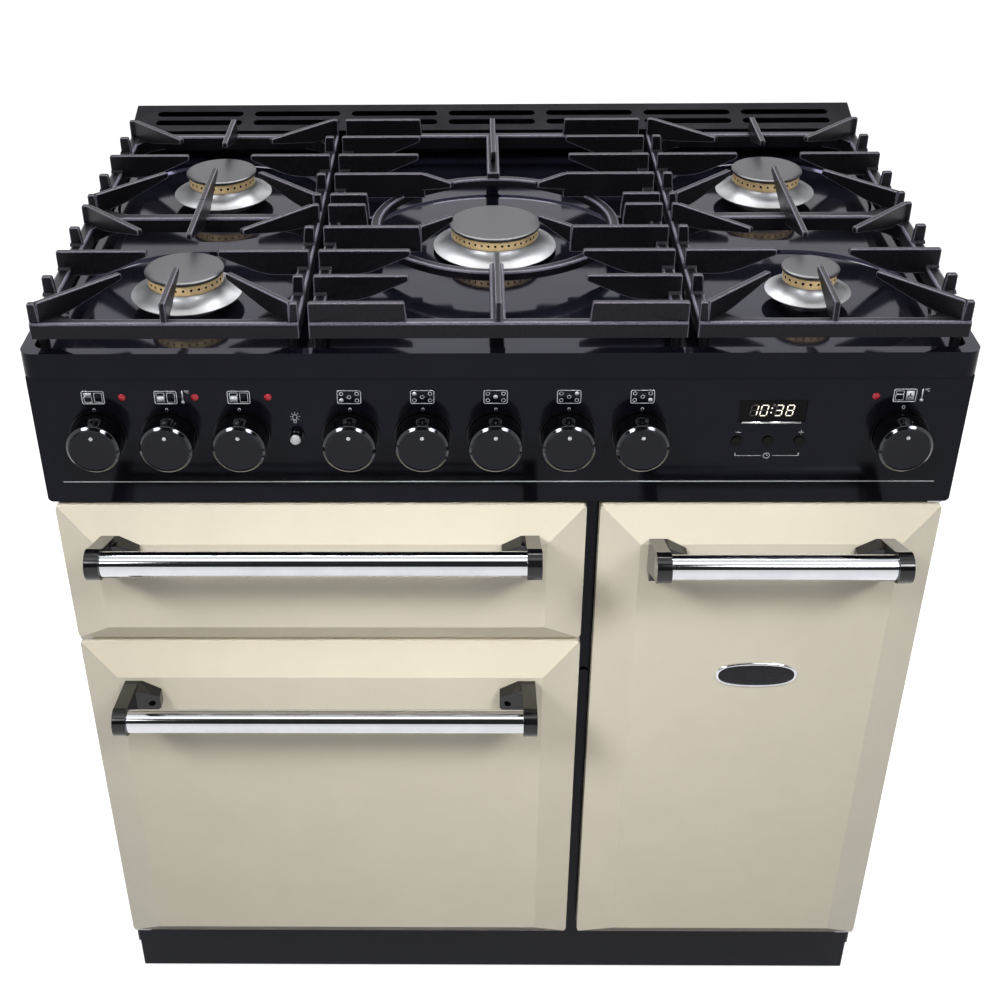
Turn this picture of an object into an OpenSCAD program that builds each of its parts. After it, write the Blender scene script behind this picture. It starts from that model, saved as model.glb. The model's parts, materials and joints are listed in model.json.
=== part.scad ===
// Free-standing dual-fuel range cooker: five gas burners, a glide-out grill and two side-hinged ovens.
// Millimetres. X runs to the right, Y to the back and Z up. The origin is the middle of the footprint, on the floor.

/* [Overall] */
// Width across the control panel
body_w = 900; // [860:5:1000]
// Depth from the control panel's face to the back of the rear vent
body_d = 600; // [590:5:680]
// Height of the hob's rim above the floor
hob_h = 905; // [895:5:930]
// Height of the base above the floor
foot_h = 60; // [50:1:75]
// Thickness of the pressed steel
sheet = 2; // [1.6:0.1:2.4]
// Gap between a resting piece and its seat on another body
seat_gap = 0.3; // [0.2:0.05:0.5]

/* [Hob] */
// How far the hob reaches past the control panel at each side
hob_over = 2.5; // [1:0.5:5]
// How far the hob reaches ahead of the control panel
hob_front = 4; // [2:0.5:8]
// Height of the hob's skirt
skirt_h = 26; // [22:1:32]
// Width of the raised rim
rim_w = 12; // [10:0.5:14]
// Depth of the hob's floor below the rim
floor_drop = 8.5; // [6:0.5:10]
// Depth of the round wells below the floor
well_drop = 2.5; // [1:0.5:3]
// Radius of a well at a side burner
side_well_r = 122; // [110:1:126]
// Radius of the well at the middle burner
middle_well_r = 150; // [130:1:165]
// Corner radius of the hob
hob_corner = 14; // [8:1:20]
// Distance of the side burners from the middle
burner_x = 313; // [306:1:320]
// Distance of the front burners behind the control panel
front_burner_y = 130.5; // [128:0.5:136]
// Distance from the front burners to the back ones
burner_pitch = 270; // [264:1:276]

/* [Burners] */
// Radius of a side burner's brass ring
side_ring_r = 37.5; // [34:0.5:40]
// Radius of the small front right burner's brass ring
small_ring_r = 26.5; // [23:0.5:30]
// Radius of the middle burner's brass ring
middle_ring_r = 46.5; // [42:0.5:52]
// Flare of a side burner's skirt beyond its ring
skirt_flare = 18.5; // [15:0.5:22]
// Height of the flared skirt
flare_h = 12.4; // [10:0.2:14]
// Height of a brass ring
ring_h = 11; // [8:0.5:13]
// Thickness of a burner cap
cap_t = 4; // [3:0.5:6]
// Height of the side skirts' lower edge above the rim
side_skirt_z = 0.6; // [0:0.1:2]
// Height of the middle skirt's lower edge below the rim
middle_skirt_drop = 7.5; // [6:0.5:8]
// Radius of a burner's cup below the hob
cup_r = 24; // [20:1:25]
// Depth of a cup below the hob's floor
cup_h = 22; // [18:1:26]
// Diameter of a spark electrode's ceramic
spark_d = 5; // [4:0.5:6]

/* [Pan supports] */
// Width of a side pan support
side_support_w = 253; // [244:1:255]
// Gap between neighbouring pan supports
support_gap = 9; // [6:0.5:14]
// Distance between neighbouring rows of fingers
row_pitch = 60; // [57:0.5:61]
// Height of the finger tops above the rim
finger_top = 46; // [42:0.5:50]
// Height of the frame bars' tops above the rim
bar_top = 27; // [24:0.5:30]
// Height of a frame bar
bar_h = 16; // [12:0.5:18]
// Width of a side bar and of the bar between two burners
bar_w = 13; // [10:0.5:15]
// Width of a front or back bar
end_bar_w = 10.5; // [8:0.5:12]
// Chamfer along the bars' upper edges
bar_edge = 2; // [1:0.5:3]
// Length of the webs in a frame's corners
web_l = 28; // [20:1:34]
// Thickness of a finger
finger_t = 6; // [4:0.5:7]
// Height of a finger at its tip
tip_h = 6; // [4:0.5:9]
// Length of the straight side fingers
finger_l = 91; // [84:1:94]
// Length of the front and back fingers
end_finger_l = 84; // [76:1:90]
// Distance that a diagonal finger runs along each axis
diagonal_l = 66; // [58:1:72]
// Outer radius of the middle support's ring
support_ring_r = 133.5; // [126:0.5:138]
// Length of the middle support's fingers
middle_finger_l = 92; // [84:1:98]
// Length of the middle support's short blocks
short_block_l = 42; // [36:1:44]
// Distance from the side to the bend of a cranked finger
bend_l = 101; // [96:1:106]
// Length of a cranked finger beyond its bend
crank_l = 44; // [36:1:50]
// Width of the middle support's ring
support_ring_w = 10.5; // [8:0.5:14]
// Height of that ring's top above the rim
support_ring_top = 20.5; // [18:0.5:24]
// Width of the ribs that carry the ring
rib_w = 14.5; // [12:0.5:16]
// Length of the fingers on those ribs
rib_finger_l = 117; // [108:1:122]

/* [Rear vent] */
// Width of the rear vent
vent_w = 889; // [860:1:895]
// Depth of the rear vent
vent_d = 55; // [48:1:56]
// Height of the vent's front edge
vent_front_h = 24; // [18:1:30]
// Height of the vent's back edge
vent_back_h = 38; // [32:1:44]
// Length of a vent slot
slot_l = 107; // [95:1:110]
// Distance between neighbouring slots
slot_pitch = 121; // [116:1:124]
// Width of a vent slot
slot_w = 11; // [8:0.5:12]
// Distance between the two rows of slots
slot_row_pitch = 19; // [17:0.5:22]

/* [Control panel] */
// Height of the control panel
panel_h = 141.5; // [138:0.5:146]
// Depth of the panel's folded edges
panel_return = 20; // [16:0.5:21]
// Height of the knobs' axes below the rim
knob_drop = 90; // [86:0.5:98]
// Distance of the outermost knobs from the middle
outer_knob_x = 388.5; // [380:0.5:392]
// Distance between neighbouring knobs
knob_pitch = 70.2; // [66:0.1:72]
// Place of the middle burner knob
burner_knob_x = -2; // [-8:1:2]
// Place of the oven light button
light_x = -195.5; // [-200:0.5:-192]
// Place of the clock
clock_x = 264; // [258:1:270]
// Width of the clock's window
window_w = 65; // [58:1:72]
// Height of the clock's window
window_h = 24; // [20:1:28]
// Height of the window's middle below the rim
window_drop = 64.5; // [62:0.5:67]
// Height of the clock buttons below the rim
clock_button_drop = 97.5; // [94:0.5:101]
// Distance between neighbouring clock buttons
clock_button_pitch = 30.3; // [26:0.1:33]
// Diameter of a clock button
clock_button_d = 10; // [8:0.5:11]
// Diameter of an indicator lamp
lamp_d = 7.5; // [6:0.5:9]
// Distance of a lamp from its knob's axis
lamp_offset = 28; // [25:0.5:30]
// Height of the lamps below the rim
lamp_drop = 48.7; // [46:0.1:52]

/* [Knobs and buttons] */
// Diameter of a knob's face
knob_d = 51.5; // [46:0.5:54]
// Distance from the panel to a knob's face
knob_l = 31; // [22:0.5:34]
// Distance from the panel to a knob's back
knob_gap = 4.5; // [3.8:0.1:6]
// Draft of a knob's side, on the diameter
knob_draft = 0.5; // [0:0.5:4]
// Gap between a knob's back edge and its bezel
bezel_gap = 0.65; // [0.5:0.05:2]
// Wall of a bezel
bezel_wall = 1.1; // [1:0.1:1.6]
// Height of a bezel
bezel_h = 4; // [3:0.5:5]
// Diameter of a spindle
spindle_d = 6; // [5:0.5:7]
// Radial clearance of a spindle in its bore
run_gap = 0.05; // [0.03:0.01:0.08]
// Travel of a burner knob when it is pushed in
push_travel = 3; // [2:0.5:3.5]
// Diameter of the oven light button
light_d = 11; // [9:0.5:13]
// Height of the light button's face in front of the panel
light_l = 11.5; // [8:0.5:13]
// Wall of the collar round the light button
light_collar_w = 2.2; // [1.5:0.1:4]
// Height of that collar
light_collar_h = 2.5; // [1.5:0.5:5]

/* [Fronts] */
// Gap between the fronts, and under the control panel
front_gap = 4; // [3.5:0.1:5]
// Height of the grill front
grill_front_h = 169; // [160:1:180]
// Height of the doors' lower edge above the floor
door_bottom = 105; // [100:1:120]
// Distance of a front's outer edge from the panel's end
side_gap = 5; // [4:0.5:7]
// Place of the black upright between the doors
stile_x = 97.5; // [80:0.5:110]
// Gap between the left fronts and the right door
stile_w = 13.5; // [10:0.5:16]
// Width of the bevels at the sides of a front
bevel_side = 40; // [30:1:46]
// Height of the bevel at the top of a front
bevel_top = 34; // [28:1:40]
// Height of the bevel at the bottom of a front
bevel_bottom = 30; // [24:1:36]
// How far the raised field stands proud of the edges
bevel_rise = 21; // [16:0.5:24]
// Depth of a front behind its edges
front_depth = 16; // [13:0.5:17]
// Corner radius of a front
front_corner = 6; // [4:0.5:9]
// Distance of the face frame behind the control panel's face
frame_y = 22; // [21:0.5:25]
// Thickness of a hinge bracket
hinge_t = 2.2; // [1.8:0.1:2.4]
// Diameter of a hinge pin
hinge_d = 6; // [5:0.5:7]
// Distance of a hinge pin from the door's outer edge
hinge_in = 8; // [7:0.5:10]

/* [Handles] */
// Diameter of a handle's tube
handle_d = 25; // [22:0.5:27]
// Diameter of a handle's end barrels
barrel_d = 31; // [29:0.5:34]
// Length of an end barrel
barrel_w = 14.5; // [12:0.5:18]
// Distance from a front's field to the handle's axis
handle_reach = 61; // [50:0.5:66]
// Distance from a front's edge to the handle's end
handle_margin = 48; // [42:1:60]
// Height of a handle's foot on its front
handle_foot_h = 38; // [34:1:42]
// Length of a handle's foot
handle_foot_l = 38; // [32:1:42]
// Depth of the grill handle's axis below its front's top
grill_handle_drop = 15; // [10:1:60]
// Depth of the left door handle's axis below the door's top
left_handle_drop = 42; // [38:1:80]
// Depth of the right door handle's axis below the door's top
right_handle_drop = 19; // [10:1:60]
// Rise of the handle above its foot's top on the two upper fronts
handle_rise_high = 8; // [6:0.5:12]
// Rise of the handle above its foot's top on the lower front
handle_rise_low = -4; // [-8:0.5:2]

/* [Ovens and grill] */
// Distance from a front's edge to the cavity behind it
cavity_margin = 38; // [34:1:48]
// Depth of the oven cavities
cavity_d = 420; // [380:5:440]
// Distance between the shelf positions
shelf_pitch = 62; // [54:1:66]
// Diameter of a shelf's frame wire
shelf_wire_d = 6; // [5:0.5:7]
// Number of cross wires in a shelf
shelf_wires = 9; // [5:1:13]
// Diameter of a heating element
element_d = 6.5; // [5.5:0.5:8]
// Radius of the ring element round a fan
ring_element_r = 88; // [80:1:96]
// Radius of a fan
fan_r = 68; // [56:1:72]
// Radius of a fan's baffle
baffle_r = 104; // [100:1:112]
// Depth of the grill compartment
grill_d = 400; // [360:5:420]
// Height of the grill pan
pan_h = 34; // [28:1:40]

/* [Hidden] */
$fn = 64;

// Depth of the whole cooker with its handles, which puts the origin in the middle
front_reach = bevel_rise + handle_reach + barrel_d / 2;
face_y = (front_reach - body_d) / 2;

// Levels
rim_z = hob_h;
floor_z = hob_h - floor_drop;
well_z = floor_z - well_drop;
under_z = well_z - sheet;
panel_top = hob_h - skirt_h;
panel_bottom = panel_top - panel_h;
fronts_top = panel_bottom - front_gap;
grill_bottom = fronts_top - grill_front_h;
left_door_top = grill_bottom - front_gap;
knob_z = hob_h - knob_drop;

// Fronts, side to side
left_edge = -(body_w / 2 - side_gap);
left_inner = stile_x - stile_w / 2;
right_inner = stile_x + stile_w / 2;
right_edge = body_w / 2 - side_gap;
back_y = body_d - 10;
case_x = body_w / 2 - 2;
plinth_x = case_x - sheet;
plinth_z = 15;
frame_drop = 8;
frame_back = frame_y + sheet;

// Cavities, side to side and up
left_x0 = left_edge + cavity_margin - 5;
left_x1 = left_inner - cavity_margin + 7;
right_x0 = right_inner + cavity_margin - 7;
right_x1 = right_edge - cavity_margin + 5;
oven_z0 = door_bottom + cavity_margin;
left_z1 = left_door_top - cavity_margin;
right_z1 = fronts_top - cavity_margin;
grill_z0 = grill_bottom + 14;
grill_z1 = fronts_top - 12;
cavity_back = frame_back + cavity_d;
grill_back = frame_back + grill_d;

// Burners: place, ring radius, skirt radius and height of the skirt's lower edge
wok_y = front_burner_y + burner_pitch / 2;
side_skirt_r = side_ring_r + skirt_flare;
small_skirt_r = small_ring_r + skirt_flare - 2;
middle_skirt_r = middle_ring_r + skirt_flare + 1.5;
BURNERS = [
    [-burner_x, front_burner_y, side_ring_r, side_skirt_r, rim_z + side_skirt_z, side_well_r],
    [-burner_x, front_burner_y + burner_pitch, side_ring_r, side_skirt_r, rim_z + side_skirt_z, side_well_r],
    [0, wok_y, middle_ring_r, middle_skirt_r, rim_z - middle_skirt_drop, middle_well_r],
    [burner_x, front_burner_y + burner_pitch, side_ring_r, side_skirt_r, rim_z + side_skirt_z, side_well_r],
    [burner_x, front_burner_y, small_ring_r, small_skirt_r, rim_z + side_skirt_z, side_well_r]
];
ring_gap = 0.2;

// Knobs, side to side
grill_knob_x = -outer_knob_x;
left_heat_x = -outer_knob_x + knob_pitch;
left_mode_x = -outer_knob_x + 2 * knob_pitch;
right_heat_x = outer_knob_x;
OVEN_KNOBS = [grill_knob_x, left_heat_x, left_mode_x, right_heat_x];
BURNER_KNOBS = [for (i = [-2:2]) burner_knob_x + i * knob_pitch];
LAMPS = [grill_knob_x + lamp_offset, left_heat_x + lamp_offset, left_mode_x + lamp_offset,
         right_heat_x - lamp_offset];
CLOCK_BUTTONS = [for (i = [-1:1]) clock_x - 1.2 + i * clock_button_pitch];
knob_base_r = (knob_d + knob_draft) / 2;
bezel_r = knob_base_r + bezel_gap + bezel_wall;
spindle_r = spindle_d / 2;
spindle_hole_r = spindle_r + 2;

// Handles
handle_y = -bevel_rise - handle_reach;
grill_handle_z = fronts_top - grill_handle_drop;
left_handle_z = left_door_top - left_handle_drop;
right_handle_z = fronts_top - right_handle_drop;

// Hinge pins and fans
pin_y = hinge_in;
left_pin_x = left_edge + hinge_in;
right_pin_x = right_edge - hinge_in;
pin_r = hinge_d / 2;
pin_l = 14;
left_fan_x = (left_x0 + left_x1) / 2;
left_fan_z = (oven_z0 + left_z1) / 2;
right_fan_x = (right_x0 + right_x1) / 2;
right_fan_z = oven_z0 + (right_z1 - oven_z0) * 0.62;
fan_y = cavity_back - 26;
baffle_y = cavity_back - 46;

// Pan supports
support_x1 = burner_x + side_support_w / 2;
middle_support_x = burner_x - side_support_w / 2 - support_gap;
support_y0 = front_burner_y - 2 * row_pitch - end_bar_w / 2;
support_y1 = front_burner_y + burner_pitch + 2 * row_pitch + end_bar_w / 2;
half_gap = burner_pitch / 2 - 2 * row_pitch;
middle_reach = 40;
support_foot_r = 5;

// Gas rail and pipes, feet, shelf ribs and grill runners
gas_rail_r = 9;
gas_pipe_r = 4;
gas_rail_y = 62;
gas_inlet_x = BURNER_KNOBS[4] + 40;
gas_inlet_r = 10.5;
pipe_z = under_z - cup_h - 14;
tap_outlet_y = 36;
foot_x = body_w / 2 - 60;
foot_stem_r = 5;
foot_pad_r = 19;
rib = 7;
rib_t = 4;
left_shelf_levels = floor((left_z1 - oven_z0 - 80) / shelf_pitch);
right_shelf_levels = floor((right_z1 - oven_z0 - 80) / shelf_pitch);
runner_z = grill_z0 + 46;
runner_h = 14;
runner_w = 8;
slide_gap = 0.5;

module at_front() {
    translate([0, face_y, 0]) children();
}

// A block between two corners
module block(x0, x1, y0, y1, z0, z1) {
    translate([x0, y0, z0]) cube([x1 - x0, y1 - y0, z1 - z0]);
}

// A rod along X, Y or Z
module rod_x(r, x0, x1, y, z) {
    translate([x0, y, z]) rotate([0, 90, 0]) cylinder(r = r, h = x1 - x0);
}

module rod_y(r, y0, y1, x, z) {
    translate([x, y1, z]) rotate([90, 0, 0]) cylinder(r = r, h = y1 - y0);
}

module rod_z(r, z0, z1, x, y) {
    translate([x, y, z0]) cylinder(r = r, h = z1 - z0);
}

// An outline in X and Z, extruded between two depths
module plate_xz(y0, y1) {
    translate([0, y1, 0]) rotate([90, 0, 0]) linear_extrude(height = y1 - y0) children();
}

// An outline in Y and Z, extruded between two places along X
module plate_yz(x0, x1) {
    translate([x0, 0, 0]) rotate([90, 0, 90]) linear_extrude(height = x1 - x0) children();
}

// A rectangle between two corners, with round corners
module round_rect(x0, x1, y0, y1, r) {
    translate([x0 + r, y0]) square([x1 - x0 - 2 * r, y1 - y0]);
    translate([x0, y0 + r]) square([x1 - x0, y1 - y0 - 2 * r]);
    for (x = [x0 + r, x1 - r], y = [y0 + r, y1 - r]) translate([x, y]) circle(r);
}

// The raised, bevelled form of a front. inset moves every face inwards.
module front_form(x0, x1, z0, z1, inset, depth) {
    rise = bevel_rise - inset;
    intersection() {
        plate_yz(x0 + inset, x1 - inset) polygon([
            [depth, z0 + inset], [0, z0 + inset], [-rise, z0 + bevel_bottom + inset / 2],
            [-rise, z1 - bevel_top - inset / 2], [0, z1 - inset], [depth, z1 - inset]]);
        translate([0, 0, z0 + inset]) linear_extrude(height = z1 - z0 - 2 * inset) polygon([
            [x0 + inset, depth], [x0 + inset, 0], [x0 + bevel_side + inset / 2, -rise],
            [x1 - bevel_side - inset / 2, -rise], [x1 - inset, 0], [x1 - inset, depth]]);
        plate_xz(-bevel_rise - 1, depth) round_rect(x0 + inset, x1 - inset, z0 + inset, z1 - inset,
                                                    front_corner - min(inset, front_corner - 1));
    }
}

// A front pressed from sheet: a hollow tray that opens to the back
module front_shell(x0, x1, z0, z1) {
    difference() {
        front_form(x0, x1, z0, z1, 0, front_depth);
        front_form(x0, x1, z0, z1, sheet, front_depth + 1);
    }
}

// The packed inner pan of a front, with its flat back plate
module front_filling(x0, x1, z0, z1) {
    inset = sheet + seat_gap;
    intersection() {
        front_form(x0, x1, z0, z1, inset, front_depth + 1);
        block(x0, x1, -bevel_rise, front_depth, z0, z1);
    }
    block(x0 + 1, x1 - 1, front_depth, front_depth + sheet, z0 + 1, z1 - 1);
}

// One cast end of a handle, at the left end: barrel, arm and tapered foot
module handle_end(x0, z, rise) {
    r = barrel_d / 2;
    field = -bevel_rise;
    top = z - rise;
    bottom = top - handle_foot_h;
    middle = (top + bottom) / 2;
    foot_t = 20;
    tip_t = 13;
    socket = 8;
    difference() {
        union() {
            rod_x(r, x0, x0 + barrel_w, handle_y, z);
            plate_yz(x0, x0 + barrel_w) polygon([
                [field, top], [handle_y, z + r], [handle_y, z - r], [field, bottom]]);
            intersection() {
                plate_xz(field - foot_t, field) polygon([
                    [x0, top], [x0 + barrel_w + 4, top], [x0 + handle_foot_l, middle + 8],
                    [x0 + handle_foot_l, middle - 8], [x0 + barrel_w + 4, bottom], [x0, bottom]]);
                translate([0, 0, bottom]) linear_extrude(height = handle_foot_h) polygon([
                    [x0, field], [x0, field - foot_t], [x0 + barrel_w, field - foot_t],
                    [x0 + handle_foot_l, field - tip_t], [x0 + handle_foot_l, field]]);
            }
        }
        rod_x(handle_d / 2 + seat_gap / 2, x0 + barrel_w - socket, x0 + barrel_w + 1, handle_y, z);
        rod_y(3.5, field - foot_t - 1, field - 6, x0 + handle_foot_l - 8.5, middle);
    }
}

// A whole handle between two edges of its front
module handle(x0, x1, z, rise) {
    a = x0 + handle_margin;
    b = x1 - handle_margin;
    socket = 8;
    color("black") handle_end(a, z, rise);
    color("black") translate([a + b, 0, 0]) mirror([1, 0, 0]) handle_end(a, z, rise);
    color("silver") rod_x(handle_d / 2, a + barrel_w - socket + seat_gap / 2, b - barrel_w + socket - seat_gap / 2,
                          handle_y, z);
}

// Outer panels of the case: two sides and the back, with its louvres and inlet holes
module casing_panels() {
    top = rim_z - sheet;
    color("dimgray") at_front() {
        for (s = [-1, 1]) {
            x = s > 0 ? case_x - sheet : -case_x;
            block(x, x + sheet, frame_y, back_y, foot_h, top);
        }
        difference() {
            block(-case_x + sheet, case_x - sheet, back_y - sheet, back_y, foot_h, top);
            for (i = [-3:3], j = [0:4])
                block(i * 100 - 35, i * 100 + 35, back_y - sheet - 1, back_y + 1, 560 + j * 30, 566 + j * 30);
            rod_y(gas_pipe_r + 2, back_y - sheet - 1, back_y + 1, gas_inlet_x, knob_z);
        }
    }
}

// Base tray with upturned edges, and bosses for the feet
module base_tray() {
    lip = 30;
    color("gray") at_front() difference() {
        block(-case_x + sheet, case_x - sheet, 40, back_y - sheet, foot_h, foot_h + lip);
        block(-case_x + 2 * sheet, case_x - 2 * sheet, 40 + sheet, back_y - 2 * sheet, foot_h + sheet, foot_h + lip + 1);
        for (x = [-1, 1], y = [90, body_d - 70]) rod_z(foot_stem_r + 0.3, foot_h - 1, foot_h + sheet + 1, x * foot_x, y);
    }
}

// Four screw feet
module feet() {
    color("black") at_front() for (x = [-1, 1], y = [90, body_d - 70]) {
        rod_z(foot_pad_r, 0, 10, x * foot_x, y);
        rod_z(foot_stem_r, 10, foot_h + 20, x * foot_x, y);
        rod_z(12, foot_h - 8, foot_h, x * foot_x, y);
    }
}

// Kick strip below the doors
module plinth() {
    color("black") at_front() difference() {
        block(-plinth_x, plinth_x, frame_y, 40, plinth_z, door_bottom - frame_drop);
        block(-plinth_x + sheet, plinth_x - sheet, frame_y + sheet, 41, plinth_z - 1, door_bottom - frame_drop - sheet);
    }
}

// Face frame behind the fronts, with an opening for the grill and for each oven
module face_frame() {
    color("black") at_front() difference() {
        block(-case_x + sheet, case_x - sheet, frame_y, frame_back, door_bottom - frame_drop, panel_bottom + 14);
        block(left_x0, left_x1, frame_y - 1, frame_back + 1, oven_z0, left_z1);
        block(right_x0, right_x1, frame_y - 1, frame_back + 1, oven_z0, right_z1);
        block(left_x0, left_x1, frame_y - 1, frame_back + 1, grill_z0, grill_z1);
    }
    color("black") at_front() rod_y(5, frame_y - 2.5, frame_y, stile_x, left_door_top - 60);
}

module burner_holes(r, z0, z1) {
    for (b = BURNERS) rod_z(r, z0, z1, b[0], b[1]);
}

// Enamelled hob pressing: raised rim, floor, round wells and burner holes
module hob_top() {
    x1 = body_w / 2 + hob_over;
    y0 = -hob_front;
    y1 = body_d;
    floor_y1 = body_d - vent_d - 4;
    slope = 3;
    color("black") at_front() difference() {
        translate([0, 0, panel_top]) linear_extrude(height = rim_z - panel_top)
            round_rect(-x1, x1, y0, y1, hob_corner);
        // the floor inside the rim
        translate([0, 0, floor_z]) linear_extrude(height = floor_drop + 1)
            round_rect(-x1 + rim_w, x1 - rim_w, y0 + rim_w, floor_y1, hob_corner - 4);
        // the wells
        intersection() {
            for (b = BURNERS) translate([b[0], b[1], well_z])
                cylinder(r1 = b[5] - slope, r2 = b[5], h = well_drop + 0.01);
            translate([0, 0, well_z - 1]) linear_extrude(height = well_drop + 2)
                round_rect(-x1 + rim_w, x1 - rim_w, y0 + rim_w, floor_y1, hob_corner - 4);
        }
        // the hollow underneath
        translate([0, 0, panel_top - 1]) linear_extrude(height = under_z - panel_top + 1)
            round_rect(-x1 + sheet, x1 - sheet, y0 + sheet, y1 - sheet, hob_corner - sheet);
        // the hollow inside the rim
        difference() {
            translate([0, 0, under_z - 1]) linear_extrude(height = rim_z - sheet - under_z + 1)
                round_rect(-x1 + sheet, x1 - sheet, y0 + sheet, y1 - sheet, hob_corner - sheet);
            translate([0, 0, under_z - 2]) linear_extrude(height = 30)
                round_rect(-x1 + rim_w - sheet, x1 - rim_w + sheet, y0 + rim_w - sheet, floor_y1 + sheet, hob_corner - 2);
        }
        burner_holes(cup_r + seat_gap, under_z - 1, rim_z);
        for (b = BURNERS) rod_z(spark_d / 2 + seat_gap, under_z - 1, rim_z, b[0] + spark_at(b)[0], b[1] + spark_at(b)[1]);
        // the air way under the vent
        block(-vent_w / 2 + 30, vent_w / 2 - 30, body_d - vent_d + 12, body_d - 16, rim_z - sheet - 1, rim_z + 1);
    }
}

// Offset of a spark electrode from its burner's middle
function spark_at(b) = [-(b[2] + 9.5) * 0.5, (b[2] + 9.5) * 0.866];

// Rear vent: a hollow cover with two rows of slots in its sloping top
module rear_vent() {
    y0 = body_d - vent_d;
    tilt = atan((vent_back_h - vent_front_h) / vent_d);
    color("black") at_front() difference() {
        plate_yz(-vent_w / 2, vent_w / 2) polygon([
            [y0, rim_z], [y0, rim_z + vent_front_h], [body_d, rim_z + vent_back_h], [body_d, rim_z]]);
        plate_yz(-vent_w / 2 + sheet, vent_w / 2 - sheet) polygon([
            [y0 + sheet, rim_z - 1], [y0 + sheet, rim_z + vent_front_h - sheet],
            [body_d - sheet, rim_z + vent_back_h - sheet], [body_d - sheet, rim_z - 1]]);
        translate([0, y0, rim_z + vent_front_h]) rotate([tilt, 0, 0])
            for (i = [-3:3], j = [-1, 1])
                translate([i * slot_pitch, vent_d / 2 + j * slot_row_pitch / 2, -sheet - 4])
                    linear_extrude(height = sheet + 8) slot(slot_l, slot_w);
    }
}

// A slot with round ends, along X
module slot(length, width) {
    translate([-(length - width) / 2, -width / 2]) square([length - width, width]);
    for (s = [-1, 1]) translate([s * (length - width) / 2, 0]) circle(width / 2);
}

// Fascia with folded edges, bored for spindles, lamps, buttons and the clock's window
module control_panel() {
    w = body_w / 2;
    lower = panel_bottom;
    color("black") at_front() difference() {
        intersection() {
            block(-w, w, 0, panel_return, lower, panel_top);
            plate_xz(-1, panel_return + 1) union() {
                round_rect(-w, w, lower, panel_top, 5);
                translate([-w, panel_top - 20]) square([2 * w, 20]);
            }
        }
        block(-w + sheet, w - sheet, sheet + 1, panel_return + 1, lower + sheet, panel_top - sheet);
        for (x = concat(OVEN_KNOBS, BURNER_KNOBS)) rod_y(spindle_hole_r, -1, sheet + 2, x, knob_z);
        rod_y(light_d / 2 + seat_gap, -1, sheet + 2, light_x, knob_z);
        for (x = CLOCK_BUTTONS) rod_y(clock_button_d / 2 + seat_gap, -1, sheet + 2, x, rim_z - clock_button_drop);
        for (x = LAMPS) rod_y(lamp_d / 2 + 0.05, -1, sheet + 2, x, rim_z - lamp_drop);
        block(clock_x - window_w / 2, clock_x + window_w / 2, -1, sheet + 2,
              rim_z - window_drop - window_h / 2, rim_z - window_drop + window_h / 2);
    }
}

// A ring round each knob, and one round the light button
module knob_bezels() {
    color("black") at_front() {
        for (x = concat(OVEN_KNOBS, BURNER_KNOBS)) difference() {
            rod_y(bezel_r, -bezel_h, 0, x, knob_z);
            rod_y(bezel_r - bezel_wall, -bezel_h - 1, 1, x, knob_z);
        }
        difference() {
            rod_y(light_d / 2 + light_collar_w, -light_collar_h, 0, light_x, knob_z);
            rod_y(light_d / 2 + seat_gap, -light_collar_h - 1, 1, light_x, knob_z);
        }
    }
}

// Red lenses, each pushed through the fascia from behind
module indicator_lamps() {
    back = sheet + 1;
    color("red") at_front() for (x = LAMPS) {
        rod_y(lamp_d / 2, -0.8, back, x, rim_z - lamp_drop);
        rod_y(lamp_d / 2 + 1.5, back, back + 12, x, rim_z - lamp_drop);
    }
}

// Electronic clock: its glass in the fascia's window and its case behind
module clock_module() {
    back = sheet + 1;
    low = rim_z - clock_button_drop - clock_button_d / 2 - 8;
    high = rim_z - window_drop + window_h / 2 + 4;
    travel = 1;
    color("darkslategray") at_front() difference() {
        union() {
            block(clock_x - window_w / 2 + 0.2, clock_x + window_w / 2 - 0.2, 1, back,
                  rim_z - window_drop - window_h / 2 + 0.2, rim_z - window_drop + window_h / 2 - 0.2);
            block(clock_x - window_w / 2 - 8, clock_x + window_w / 2 + 8, back, back + 30, low, high);
        }
        for (x = CLOCK_BUTTONS)
            rod_y(clock_button_d / 2 + seat_gap, back - 1, back + 8 + travel + seat_gap, x, rim_z - clock_button_drop);
    }
}

// Rotary switches behind the oven knobs, and the light switch
module switch_bodies() {
    back = sheet + 1;
    color("beige") at_front() {
        for (x = OVEN_KNOBS) difference() {
            union() {
                block(x - 18, x + 18, back, back + 32, knob_z - 18, knob_z + 18);
                block(x - 14, x + 14, back + 32, back + 38, knob_z - 12, knob_z + 12);
            }
            rod_y(spindle_r + run_gap, back - 1, back + 26, x, knob_z);
        }
        difference() {
            rod_y(light_d / 2 + 5, back, back + 26, light_x, knob_z);
            rod_y(light_d / 2 + seat_gap, back - 1, back + 16, light_x, knob_z);
        }
    }
}

// Brass taps on the gas rail, each with a bore for its spindle and an outlet at the top
module gas_taps() {
    color("goldenrod") at_front() for (x = BURNER_KNOBS) difference() {
        union() {
            rod_y(11, sheet + 1 + seat_gap, gas_rail_y - 16, x, knob_z);
            block(x - 10, x + 10, 24, gas_rail_y - gas_rail_r, knob_z - 12, knob_z + 16);
        }
        rod_y(spindle_r + run_gap, 0, 38, x, knob_z);
        rod_z(gas_pipe_r + run_gap, knob_z + 8, knob_z + 17, x, tap_outlet_y + 8);
    }
}

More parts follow.
